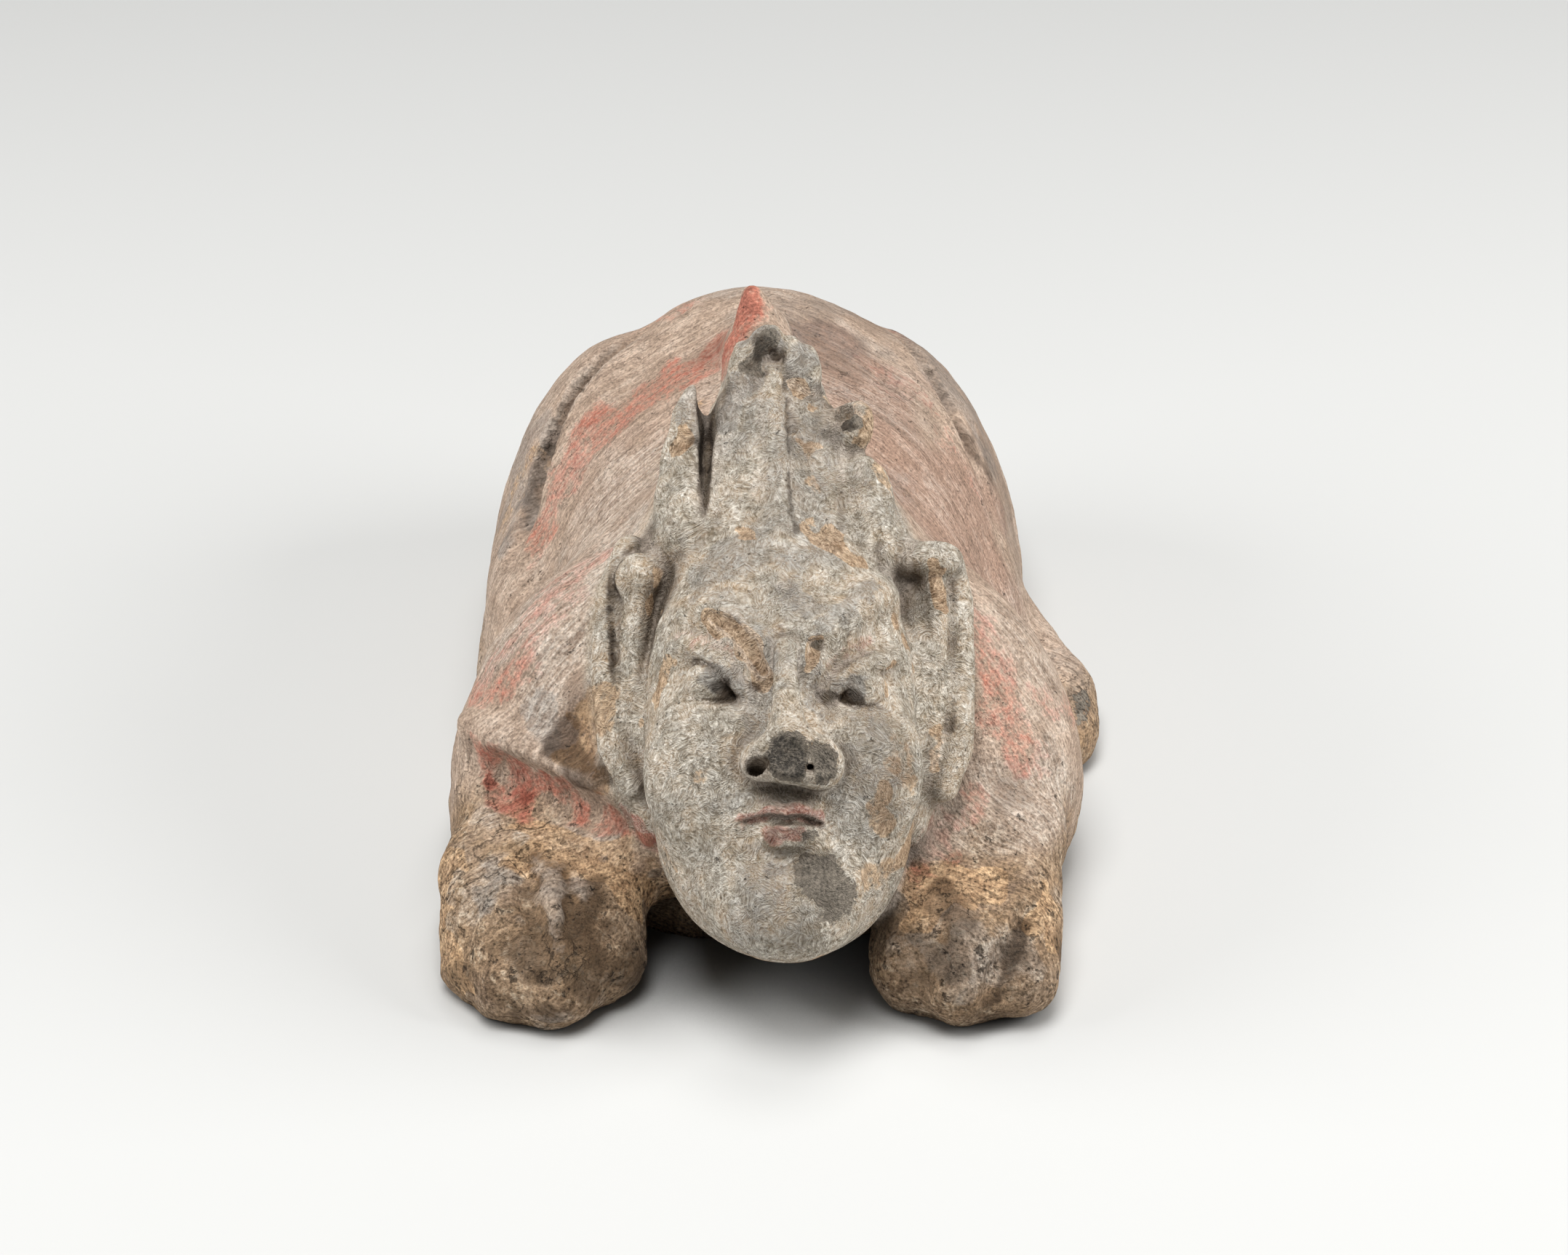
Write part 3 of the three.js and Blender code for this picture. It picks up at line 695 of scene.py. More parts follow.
OCHRE_ON_FACE = [
    (1.0, 4.4, [(-4.4, -34, 11.5), (-8, -34, 18.6), (-12.6, -32, 24.6), (-18, -28, 28.4)]),
    (0.85, 2.8, [(7.6, -35, 14), (9.4, -34, 21)]),
    (0.6, 5, [(-31, -18, 18), (-33, -14, 8)]),
    (0.7, 2.2, [(30, -22, 17), (28, -25, 8)]),
    (0.9, 3, [(42, -3, 47), (44, -1, 37)]),
    (0.6, 2.6, [(42, 0, 2), (42, 0, -8)]),
    (0.9, 3.4, [(-31.6, -6, 45), (-33, -6, 38)]),
    (0.6, 4, [(-36, -1, 10), (-36, 0, -2)]),
    (0.5, 7, [(29, -29, -8), (33, -24, -14)]),
    (0.55, 7, [(32, -12, -34), (25, -24, -42)]),
    (0.5, 7, [(-32, -8, -20), (-30, -8, -36)]),
    (0.75, 7, [(-22, -12, -62), (0, -20, -68), (20, -12, -62)]),
    (0.6, 6, [(24, -28, -16), (28, -26, -26)]),
    (0.5, 5, [(-24, -26, -16), (-20, -30, -14)]),
    (0.5, 6, [(26, -20, 44), (20, -24, 46)]),
    (0.5, 5, [(-28, -20, 36), (-34, -8, 54)]),
]
BARE_ON_BODY = [
    (0.8, 5, [(1, -15, 151), (-4, -20, 146)]),
    (0.75, 3.4, [(24, -34, 134)]),
    (0.75, 5, [(96, 4, 18), (92, -6, 22)]),
]
BARE_ON_FACE = [
    (1.0, 7.4, [(0.8, -47, -12.2), (3, -47, -12.8)]),
    (0.78, 7.6, [(11.6, -44, -12.5)]),
    (0.75, 9.5, [(10, -34, -42), (13.5, -31, -49)]),
    (0.62, 2.4, [(7, -35.5, -31), (8.5, -34.5, -31)]),
]
GREY_ON_BODY = [
    (0.9, 9, [(0, -16, 150), (-6, -24, 141), (-9, -31, 134)]),
    (0.8, 7, [(8, -14, 146), (11, -22, 140)]),
    (0.7, 5, [(-20, -26, 136), (-19, -36, 128)]),
    (0.4, 16, [(37, -2, 96), (34, -40, 117)]),
    (0.45, 22, [(8, 40, 116), (24, 70, 108), (0, 90, 110)]),
    (0.6, 12, [(60, 76, 80), (64, 68, 70)]),
    (0.55, 20, [(46, 92, 94), (58, 76, 76)]),
    (0.6, 16, [(-75, 73, 66), (-79, 61, 54)]),
    (0.4, 9, [(90, 20, 25), (95, 5, 20)]),
    (0.7, 7, [(-74, -106, 33.5), (-78, -112, 29.5)]),
    (0.55, 12, [(48, -124, 29), (56, -130, 24), (66, -126, 22)]),
    (0.6, 8, [(-61, -74, 65), (-59, -78, 58)]),
    (0.75, 10, [(-62, 62, 78), (-70, 54, 67), (-76, 40, 56)]),
    (0.5, 14, [(-66, 96, 70), (-72, 92, 48)]),
    (0.5, 16, [(0, 128, 70), (30, 124, 44)]),
]
GREY_ON_FACE = [
    (0.7, 5, [(2, -27, 34), (10, -28, 30), (16, -30, 27)]),
    (0.6, 5, [(-6, -33, 18), (-12, -30, 33), (-18, -24, 36)]),
    (0.7, 4, [(11, -33, 24), (19, -28, 33), (25, -20, 40)]),
    (0.7, 5, [(-10, -31, 6), (-14, -30, 12)]),
    (0.7, 4.5, [(15, -30, 8), (20, -30, 8)]),
    (0.6, 3.4, [(1.6, -37, 10), (2, -42, 0)]),
    (0.55, 12, [(24, -28, -12), (22, -28, -22)]),
    (0.5, 8, [(0, -30, -42), (6, -28, -54)]),
    (0.6, 18, [(0, 4, 84), (6, -16, 62)]),
    (0.5, 4, [(-10, -34, -21), (-16, -30, -22)]),
    (1.2, 4.8, [(-16, -29.6, 10.6)]),
    (1.2, 4.8, [(20.4, -29.4, 7.4)]),
    # Painted shade on the nose's flanks beside the bridge
    (0.75, 7, [(-1.4, -34, 12), (-4.4, -34, 5), (-6, -34, -1)]),
    (0.7, 5, [(6, -33, 14), (9, -32, 4)]),
    (0.55, 12, [(-8, -31, -54), (-2, -32, -42)]),
    (0.6, 9, [(16, -28, -20), (22, -26, -28)]),
    (0.7, 13, [(-16, -22, 44), (4, -24, 46), (14, -24, 46)]),
]
# Dark marks on the body: painted shade in the furrows of the paws and haunches, the crooks of the arms,
# between the toes, in the notch, the crest's slot and hollow and the arch under the chin; elsewhere darker
# patches of clay on the paws, crest, back and haunches
DARK_ON_BODY = [
    (0.6, 4, [(-65, -110, 34), (-63.4, -119, 31), (-60, -132, 22)]),
    (0.8, 5, [(-47.6, -110.6, 32)]),
    (0.8, 12, [(-60, -107, 36), (-56, -114, 32), (-49, -120, 27)]),
    (0.7, 12, [(-67, -129, 21), (-52, -128, 22), (-42, -124, 14)]),
    (0.9, 9, [(-52, -82, 59), (-49, -88, 56)]),
    (0.5, 8, [(-52, -74, 71)]),
    (0.5, 10, [(67, -88, 46)]),
    (0.5, 9, [(38, -125, 23)]),
    (0.35, 16, [(38, 81, 98), (38, 59, 97), (46, 35, 91)]),
    # Painted shadow in the arch under the chin
    (1.2, 17, [(2, -94, 28), (2, -60, 20)]),
    (0.7, 5, [(-58.7, -137, 9), (-66, -136, 9)]),
    (0.6, 6, [(-84.5, -122, 13), (-84, -127, 10)]),
    (0.7, 9, [(47, -116, 33), (52, -124, 31)]),
    (0.5, 9, [(54, -134, 24), (44, -130, 20)]),
    (0.85, 3.6, [(70.5, -121, 28.3), (67.8, -125, 24.6), (61.9, -135.5, 14)]),
    (0.6, 8, [(71, -125, 20), (76, -121, 18)]),
    (0.8, 6, [(38, -104, 40), (33, -106, 44)]),
    (1.0, 3, [(77, -114, 33)]),
    (1.0, 4.4, [(-19.9, -39, 123), (-19.6, -32, 127), (-19, -23, 133)]),
    (0.8, 2, [(6.6, -28, 138), (6.6, -41, 131), (7, -58, 124), (8.6, -68, 120)]),
    (0.8, 5, [(-0.6, -17, 148), (4, -21, 144)]),
    (0.8, 3.4, [(21.4, -33.8, 134.5)]),
    (0.5, 10, [(14, -36, 132), (20, -48, 124)]),
    (0.55, 6, [(-62, 62, 78), (-70, 54, 67), (-75, 42, 57)]),
    (0.8, 6, [(60, 62, 80), (70, 56, 64)]),
    (0.45, 5, [(91, 16, 24), (95, 0, 19)]),
    (0.5, 18, [(58, 92, 82), (70, 74, 66), (76, 60, 50)]),
    (0.5, 26, [(4, 50, 116), (20, 90, 108), (40, 96, 96)]),
]
# Dark marks on the face: painted shade between the brows, in the eye sockets and eye corners, beside the
# nose, in the mouth's slit and the ears' grooves; the irises, lower lip and chin are darker clay, and the
# right cheek is darker clay with painted shade
DARK_ON_FACE = [
    (0.4, 12, [(-0.5, -27.5, 37), (-1.5, -31, 25), (0, -34, 16)]),
    (0.4, 7, [(13, -31, 11), (24, -27, 14)]),
    (0.35, 6, [(-12, -31, 15), (-24, -25, 17)]),
    (0.5, 4, [(13, -31, 9), (12, -31, 2)]),
    (0.45, 12, [(-3, -33, -43), (4, -34, -53)]),
    (0.5, 14, [(24, -27, -6), (26, -25, -20)]),
    (1.2, 3.6, [(-15.6, -30, 10)]),
    (1.3, 3.6, [(20, -29.4, 6.4)]),
    (1.0, 2.2, [(-6, -32, 8.6), (-9, -31, 10)]),
    (1.1, 2.2, [(14.5, -29.2, 5.3), (11, -31, 7)]),
    (0.8, 2, [(-2.6, -39, 6), (-3.4, -40, -2)]),
    (0.8, 1.6, [(-9, -33, -27.4), (-2.8, -36, -26.7), (1.4, -36, -27.2), (6, -35.4, -26.8),
                (9.4, -33, -27.6)]),
    (0.75, 3, [(-3, -37, -31), (6, -37, -31)]),
    (1.0, 2, [(-43, -3, 48), (-45.6, -1.4, 42), (-46, -1, 28), (-45.6, -1, 18)]),
    (0.6, 2.6, [(-33.2, -4, 36), (-33.4, -5, 29)]),
    (0.3, 2.8, [(38.6, -3, 48), (39.6, -2, 36)]),
]
WASH_ON_BODY = [
    (1.0, 36, [(27, 51, 104), (34, 24, 100), (44, 6, 90), (60, 30, 74), (64, 7, 58)]),
    (0.4, 30, [(-20, 40, 108), (-44, 20, 90)]),
    (0.5, 40, [(0, 110, 90), (30, 120, 60)]),
]
HAZE_ON_BODY = [
    (0.9, 24, [(-56, -58, 78), (-66, -52, 70), (-44, -40, 92)]),
    (0.6, 20, [(-40, 6, 96), (-56, -6, 80)]),
    (0.7, 16, [(58, -96, 44), (70, -86, 40)]),
    (0.8, 12, [(77, -80, 38), (80, -74, 44)]),
    (0.8, 8, [(-74, -106, 33.5), (-78, -113, 29)]),
    (0.7, 6, [(62, -128, 26), (57, -136, 18)]),
    (1.0, 6.5, [(-84, -84, 42), (-66, -92, 41), (-48, -99, 40), (-33, -105, 39)]),
    (0.5, 14, [(66, -52, 76), (78, -60, 60)]),
    (0.65, 8, [(-87, -96, 31), (-88, -114, 17)]),
    (0.8, 9, [(77, -120, 27), (82, -110, 22)]),
]

# For each mark its traces on the body and on the face, each with how ragged their edges are.
MARKS = {
    "red": (RED_ON_BODY, 0.6, RED_ON_FACE, 0.6),
    "ochre": (OCHRE_ON_BODY, 0.8, OCHRE_ON_FACE, 0.5),
    "bare": (BARE_ON_BODY, 0.5, BARE_ON_FACE, 0.4),
    "grey": (GREY_ON_BODY, 0.8, GREY_ON_FACE, 0.6),
    "dark": (DARK_ON_BODY, 0.8, DARK_ON_FACE, 0.5),
}

# Unevenness of the pressed clay, each (size, height, seed); the paws and legs are the roughest.
UNEVEN_ALL = [(16, 0.55, 1), (6, 0.24, 2), (2.6, 0.12, 3), (1.4, 0.07, 4)]
UNEVEN_LOW = [(13, 0.9, 5), (6, 0.5, 6), (3, 0.35, 9)]
CREST_STREAKS = 0.8
FLAKE_DEPTH = 0.5


def nearness(form, points, far, near):
    return soft_step(np.abs(at_points(form, points)), far, near)


def uneven(points, table):
    return sum(tall * noise(points, size, seed) for size, tall, seed in table)


def flaked_off(points, table):
    return soft_step(traces(points, table, 0.35), 0.35, 0.6)


def lowness(points):
    """One on the paws, forearms and feet, fading upwards."""
    _, y, z = points.T
    front = soft_step(z + 7 * noise(points, 18, 11), 50, 24) * soft_step(y, -58, -80)
    return np.maximum(front, 0.8 * soft_step(z + 6 * noise(points, 20, 14), 34, 12))


def roughened(form, points):
    """Gives the skin the unevenness of worn clay, and sets bare places back where a flake came off."""
    face = into_frame(points, HEAD_AT, HEAD_LEAN)
    on_head = nearness(placed_head(), points, 4, 1)
    on_crest = nearness(placed_crest(), points, 4, 1)
    height = uneven(points, UNEVEN_ALL) * (1 - 0.5 * on_head)
    height += uneven(points, UNEVEN_LOW) * lowness(points) * (1 - on_head)
    height += CREST_STREAKS * noise(points * (1, 0.25, 0.25), 2.6, 10) * on_crest
    height -= FLAKE_DEPTH * soft_step(traces(face, BARE_ON_FACE, 0.35), 0.35, 0.5)
    height -= 0.6 * FLAKE_DEPTH * flaked_off(face, OCHRE_ON_FACE[:2])
    height -= FLAKE_DEPTH * flaked_off(points, OCHRE_ON_BODY[:2])
    chips = soft_step(noise(points, 5, 7) + 0.5 * noise(points, 2.2, 8), 0.62, 0.9)
    height -= FLAKE_DEPTH * chips * (1 - on_head)
    return points + height[:, None] * normals_of(form, points)


# Build the clay
CLAY_STEP, CLAY_FOCUS, CLAY_SPREAD = 0.85, (4, -122, 86), 108
HOLLOW_STEP, STRAIGHT = 7, 1e6  # a grid with so wide a spread has straight lines
EVENING_ROUNDS = 2
FLOOR_MARGIN = 8  # the skin goes on this far under the ground, which is then cut away
ARCH_MIDDLE, ARCH_FRONT, ARCH_BACK = -1.5, -108, -50
ARCH_CORNER = 0.6  # share of the arch's height that its corners take
ARCH_STEPS = 6
GROUND_REACH, GROUND_DEPTH = 300, 60


def above_margin(form):
    return lambda p: np.maximum(form(p), -FLOOR_MARGIN - p[:, 2])


def mesh_object(name, points, faces):
    mesh = bpy.data.meshes.new(name)
    mesh.from_pydata((points * MM).tolist(), [], faces.tolist() if hasattr(faces, "tolist") else faces)
    made = bpy.data.objects.new(name, mesh)
    bpy.context.scene.collection.objects.link(made)
    return made


def arch_cutter():
    half, corner = ARCH_WIDTH / 2, ARCH_HEIGHT * ARCH_CORNER
    outline = [(-half, -ARCH_HEIGHT), (half, -ARCH_HEIGHT)]
    for side in (1, -1):
        inner = side * (half - corner)
        bow = [(side * half, ARCH_HEIGHT - corner), (side * half, ARCH_HEIGHT), (inner, ARCH_HEIGHT)]
        for i in range(ARCH_STEPS + 1)[::side]:
            t = i / ARCH_STEPS
            outline.append([(1 - t) ** 2 * a + 2 * t * (1 - t) * b + t * t * c for a, b, c in zip(*bow)])
    count = len(outline)
    points = np.array([(ARCH_MIDDLE + x, y, z) for y in (ARCH_FRONT, ARCH_BACK) for x, z in outline])
    sides = [[i, (i + 1) % count, count + (i + 1) % count, count + i] for i in range(count)]
    faces = [list(range(count))[::-1], list(range(count, 2 * count)), *sides]
    return mesh_object("arch_cutter", points, faces)


def ground_cutter():
    low, high = (-GROUND_REACH, -GROUND_REACH, -GROUND_DEPTH), (GROUND_REACH, GROUND_REACH, 0)
    points = np.where(CORNERS, high, low)
    faces = [(0, 2, 3, 1), (4, 5, 7, 6), (0, 1, 5, 4), (2, 6, 7, 3), (0, 4, 6, 2), (1, 3, 7, 5)]
    return mesh_object("ground_cutter", points, faces)


def cut_with(body, *cutters):
    """Takes the cutters away from the body, one after the other."""
    for cutter in cutters:
        step = body.modifiers.new("cut", "BOOLEAN")
        step.operation = "DIFFERENCE"
        step.solver = "MANIFOLD"
        step.object = cutter
    evaluated = body.evaluated_get(bpy.context.evaluated_depsgraph_get())
    mesh = bpy.data.meshes.new_from_object(evaluated)
    body.modifiers.clear()
    old, body.data = body.data, mesh
    bpy.data.meshes.remove(old)
    for cutter in cutters:
        old = cutter.data
        bpy.data.objects.remove(cutter)
        bpy.data.meshes.remove(old)


CLAY_LOW, CLAY_HIGH = (-104, -158, -FLOOR_MARGIN), (104, 146, 158)
clay_form = above_margin(figure())
points, triangles = surface_of(
    clay_form, CLAY_LOW, CLAY_HIGH, CLAY_STEP, CLAY_FOCUS, CLAY_SPREAD, EVENING_ROUNDS
)
beast = mesh_object("beast_clay", roughened(clay_form, points), triangles)
hollow_form = above_margin(torso(WALL))
hollow = surface_of(hollow_form, CLAY_LOW, CLAY_HIGH, HOLLOW_STEP, (0, 0, 0), STRAIGHT, EVENING_ROUNDS)
cut_with(beast, mesh_object("hollow_cutter", *hollow), arch_cutter(), ground_cutter())
beast.data.shade_smooth()


def coordinates(mesh):
    co = np.empty(len(mesh.vertices) * 3, np.float32)
    mesh.vertices.foreach_get("co", co)
    return co.reshape(-1, 3).astype(float)


def write_marks(mesh):
    """Stores on each point what lies there: paint, earth, slip, bare clay, hollows for dirt and painted
    shade, and worn edges for wear and a painted highlight.
    """
    points = coordinates(mesh) / MM
    face = into_frame(points, HEAD_AT, HEAD_LEAN)
    normals = normals_of(clay_form, points)

    def openness(reach):
        return at_points(clay_form, points + reach * normals) / reach

    outside = nearness(clay_form, points, 4, 2)
    on_head = np.maximum(nearness(placed_head(), points, 5, 1.5), nearness(placed_crest(), points, 5, 1.5))
    haze = 0.4 * soft_step(noise(points, 22, 12) + 0.5 * noise(points, 8, 13), -0.2, 0.9)
    # How closed in each point is, at two reaches; the material paints dirt and painted shade there
    narrow = soft_step(1 - openness(3), 0.15, 0.75)
    wide = soft_step(1 - openness(9), 0.2, 0.9)
    marks = {
        name: np.maximum(traces(points, on_body, body_edge), traces(face, on_face, face_edge))
        for name, (on_body, body_edge, on_face, face_edge) in MARKS.items()
    }
    marks |= {
        "slip": np.maximum(np.maximum(on_head, haze), traces(points, HAZE_ON_BODY, 0.6)),
        "wash": traces(points, WASH_ON_BODY, 0.4) * (1 - on_head),
        "hollow": np.maximum(narrow, 0.6 * wide),
        # Edges and ridges, which the material lightens: wear and a painted highlight
        "wear_and_highlight": soft_step(1 + at_points(clay_form, points - 2.5 * normals) / 2.5, 0.1, 0.6),
        "low": lowness(points) * (1 - on_head),
        "on_head": on_head,
    }
    marks = {name: values * outside for name, values in marks.items()}
    marks["inside"] = 1 - outside
    for name, values in marks.items():
        layer = mesh.attributes.new(name, "FLOAT", "POINT")
        layer.data.foreach_set("value", values.astype(np.float32))


write_marks(beast.data)
beast.data.transform(Matrix.Translation(Vector(ROW_SHIFT) * MM))
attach(beast, "root")
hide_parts("tomb_guardian_beast")


# Material
class Weave:
    """Adds shader nodes to a material. Each call gives back the socket that carries its result."""

    def __init__(self, tree):
        self.tree = tree

    def node(self, kind, inputs, output=0, **settings):
        made = self.tree.nodes.new("ShaderNode" + kind)
        for name, value in settings.items():
            setattr(made, name, value)
        for name, value in inputs.items():
            if isinstance(value, bpy.types.NodeSocket):
                self.tree.links.new(value, made.inputs[name])
            else:
                made.inputs[name].default_value = value
        return made.outputs[output]

    def math(self, operation, a, b=0.0, clamp=False):
        return self.node("Math", {0: a, 1: b}, operation=operation, use_clamp=clamp)

    def times(self, *values):
        total = values[0]
        for value in values[1:]:
            total = self.math("MULTIPLY", total, value)
        return total

    def without(self, mark, share=1.0):
        return self.math("SUBTRACT", 1.0, self.times(mark, share), True)

    def blend(self, *parts):
        """The weighted sum of values, each (weight, value)."""
        total = self.times(parts[0][1], parts[0][0])
        for weight, value in parts[1:]:
            total = self.node("Math", {0: value, 1: weight, 2: total}, operation="MULTIPLY_ADD")
        return total

    def step(self, value, low, high):
        return self.node("MapRange", {"Value": value, "From Min": low, "From Max": high})

    def mark(self, name):
        return self.node("Attribute", {}, "Fac", attribute_name=name)

    def noise(self, place, size, detail=5.0, rough=0.6):
        """Noise about 0.5, with bumps about size millimetres across."""
        inputs = {"Vector": place, "Scale": 1 / size, "Detail": detail, "Roughness": rough}
        return self.node("TexNoise", inputs)

    def drifted(self, place, size, reach):
        """Places that wander by about a quarter of the reach, in bends of the given size."""
        inputs = {"Vector": place, "Scale": 1 / size, "Detail": 2.0}
        wander = self.node("TexNoise", inputs, "Color")
        return self.moved(place, self.scaled(wander, reach))

    def choose(self, share, first, second):
        return self.node("Mix", {0: share, 2: first, 3: second})

    def moved(self, place, shift):
        return self.node("VectorMath", {0: place, 1: shift})

    def scaled(self, place, size):
        return self.node("VectorMath", {0: place, "Scale": size}, operation="SCALE")

    def mix(self, share, under, over, kind="MIX"):
        inputs = {0: share, 6: under, 7: over}
        return self.node("Mix", inputs, 2, data_type="RGBA", blend_type=kind)

    def cover(self, mark, grain, low, high, gain=1.0):
        """Where a mark shows once its edge is broken up by a grain about 0.5."""
        broken_up = self.times(self.math("SUBTRACT", grain, 0.5), gain)
        return self.step(self.math("ADD", mark, broken_up), low, high)


def colour(red, green, blue):
    """A colour as it looks on a screen, from 0 to 255, in the linear values that a shader takes."""

    def linear(part):
        part /= 255
        return part / 12.92 if part <= 0.04045 else ((part + 0.055) / 1.055) ** 2.4

    return (linear(red), linear(green), linear(blue), 1)


BROWN, TAN = colour(170, 147, 128), colour(198, 174, 154)
LIGHT, UMBER = colour(214, 200, 186), colour(118, 98, 82)
HEAD_DARK, HEAD_LIGHT = colour(144, 129, 108), colour(184, 165, 138)
EARTH_DARK, EARTH, EARTH_PALE = colour(100, 78, 56), colour(154, 126, 95), colour(196, 180, 156)
OCHRE, OCHRE_DARK = colour(196, 164, 128), colour(146, 114, 84)
SALMON, DEEP_RED, WASH = colour(186, 114, 94), colour(138, 64, 50), colour(166, 134, 116)
SLIP, SLIP_SHADE = colour(226, 220, 210), colour(204, 196, 182)
HEAD_SLIP, HEAD_SLIP_SHADE = colour(219, 214, 204), colour(184, 176, 163)
GREY, COOL = colour(150, 150, 152), colour(174, 172, 168)
BARE_DARK, BARE_PALE = colour(74, 69, 63), colour(128, 119, 107)
# Tones for dirt with painted shade in hollows, dark patches with painted shade, pits and the dark inside
DIRT_AND_SHADE, DARK_STAIN_AND_SHADE, PIT, INNER = colour(98, 82, 66), colour(142, 136, 132), colour(44, 36, 29), colour(66, 53, 40)
BODY_AXIS_HEIGHT, BODY_GIRTH = 10, 70  # the strokes on the body run round this line
RELIEF_DEPTH, PIT_SPACING = 1.1, 4.2
LEAST_ROUGH, MOST_ROUGH = 0.78, 0.98


def clay_material():
    material = bpy.data.materials.new("worn_earthenware")
    material.use_nodes = True
    tree = material.node_tree
    w = Weave(tree)
    shader = tree.nodes["Principled BSDF"]
    place = w.scaled(w.node("TexCoord", {}, "Object"), 1 / MM)
    red, ochre, bare, grey, dark = (w.mark(name) for name in ("red", "ochre", "bare", "grey", "dark"))
    slip, wash, hollow, wear_and_highlight = (w.mark(name) for name in ("slip", "wash", "hollow", "wear_and_highlight"))
    low, on_head = w.mark("low"), w.mark("on_head")

    broad = w.noise(place, 28, 4)
    middle = w.noise(place, 8, 6, 0.62)
    other = w.noise(w.moved(place, (400, 170, 90)), 6, 6, 0.66)
    fine = w.noise(place, 2, 6, 0.7)
    grain = w.noise(place, 0.8, 1, 0.5)
    upright = w.node("Mapping", {"Vector": place, "Rotation": (math.radians(-HEAD_LEAN), 0, 0)})
    drawn = w.node("Mapping", {"Vector": w.drifted(upright, 10, 14), "Scale": (1, 1, 0.32)})
    fibres = w.noise(drawn, 0.65, 2, 0.6)

    # Strokes round the body, which drift forward on the way down
    axes = tree.nodes.new("ShaderNodeSeparateXYZ")
    tree.links.new(place, axes.inputs[0])
    x, y, z = axes.outputs
    arc = w.times(w.math("ARCTAN2", x, w.math("ADD", z, BODY_AXIS_HEIGHT)), BODY_GIRTH)
    drift = w.blend((1.0, y), (0.5, w.math("ABSOLUTE", arc)))
    girth = w.node("CombineXYZ", {0: drift, 1: w.times(arc, 0.16), 2: w.times(z, 0.1)})
    brushing = w.noise(girth, 4, 6, 0.66)
    strokes = w.noise(girth, 0.9, 3, 0.6)

    # Clay of the body
    base = w.mix(w.step(w.blend((0.5, middle), (0.5, broad)), 0.4, 0.6), BROWN, TAN)
    base = w.mix(w.times(w.cover(wash, middle, 0.2, 0.9), 0.75), base, WASH)
    base = w.mix(w.times(w.step(brushing, 0.5, 0.34), 0.5), base, UMBER)
    pale = w.step(w.blend((0.25, strokes), (0.4, brushing), (0.35, middle)), 0.5, 0.66)
    base = w.mix(w.times(pale, 0.36), base, LIGHT)

    # Earth on the paws and low places
    earth = w.mix(w.step(w.blend((0.5, broad), (0.2, middle), (0.3, fine)), 0.38, 0.54), EARTH_DARK, EARTH)
    earth = w.mix(w.times(w.step(w.blend((0.5, other), (0.5, fine)), 0.53, 0.62), 0.6), earth, EARTH_PALE)
    base = w.mix(w.times(w.cover(low, middle, 0.2, 0.8), 0.85), base, earth)

    # Clay of the head
    head_tone = w.mix(w.step(w.blend((0.6, middle), (0.4, broad)), 0.4, 0.6), HEAD_DARK, HEAD_LIGHT)
    warm = w.step(w.blend((0.4, broad), (0.6, middle)), 0.46, 0.56)
    head_tone = w.mix(w.times(warm, 0.7), head_tone, OCHRE)
    base = w.mix(on_head, base, head_tone)
    ochre_tone = w.mix(w.step(w.blend((0.5, fine), (0.5, other)), 0.4, 0.6), OCHRE_DARK, OCHRE)
    flaked = w.cover(ochre, w.blend((0.5, middle), (0.5, fine)), 0.42, 0.56)
    base = w.mix(w.times(flaked, 0.85), base, ochre_tone)

    # Red paint, brushed and worn
    paint = w.mix(w.step(w.blend((0.6, red), (0.5, middle), (0.5, fine)), 0.88, 1.18), SALMON, DEEP_RED)
    left = w.cover(red, w.blend((0.4, brushing), (0.35, fine), (0.25, middle)), 0.34, 0.86, 3.2)
    base = w.mix(w.times(left, 0.88), base, paint)

    # White slip in fine strokes
    white = w.mix(w.step(fine, 0.38, 0.6), SLIP_SHADE, SLIP)
    crusted = w.step(w.blend((0.5, fine), (0.5, middle)), 0.38, 0.6)
    white = w.mix(on_head, white, w.mix(crusted, HEAD_SLIP_SHADE, HEAD_SLIP))
    body_grain = w.blend((0.5, strokes), (0.3, fine), (0.2, middle))
    head_grain = w.blend((0.4, fibres), (0.3, fine), (0.3, other))
    on_body_shows = w.times(w.step(body_grain, 0.4, 0.62), 0.7)
    showing = w.choose(on_head, on_body_shows, w.step(head_grain, 0.38, 0.58))
    covered = w.times(slip, showing)
    covered = w.times(covered, w.without(flaked, 0.75), w.without(left, 0.45), w.without(low, 0.3))
    base = w.mix(w.times(covered, 0.85), base, white)

    # Grey stains with painted shade beside the nose, flaked places, dirt and painted shade in the hollows,
    # dark patches with painted shade, and pale worn edges with a painted highlight
    # Grey stains, and painted shade on the nose's flanks
    stain_and_shade = w.cover(grey, w.blend((0.6, fine), (0.4, middle)), 0.3, 0.95)
    stain_and_shade = w.times(stain_and_shade, w.without(flaked, 0.8))
    base = w.mix(w.times(stain_and_shade, 0.45), base, COOL)
    base = w.mix(w.times(stain_and_shade, 0.45), base, GREY, "MULTIPLY")
    broken = w.cover(bare, w.blend((0.6, fine), (0.4, middle)), 0.46, 0.52, 2.2)
    core = w.mix(w.step(w.blend((1.0, bare), (-0.8, fine), (-0.8, grain)), -0.1, 0.3), BARE_PALE, BARE_DARK)
    base = w.mix(broken, base, core)
    # Dirt and painted shade in the hollows
    dirt_and_shade = w.cover(hollow, w.blend((0.5, fine), (0.5, middle)), 0.15, 0.95, 2.0)
    base = w.mix(w.times(dirt_and_shade, w.without(flaked, 0.85), 0.8), base, DIRT_AND_SHADE)
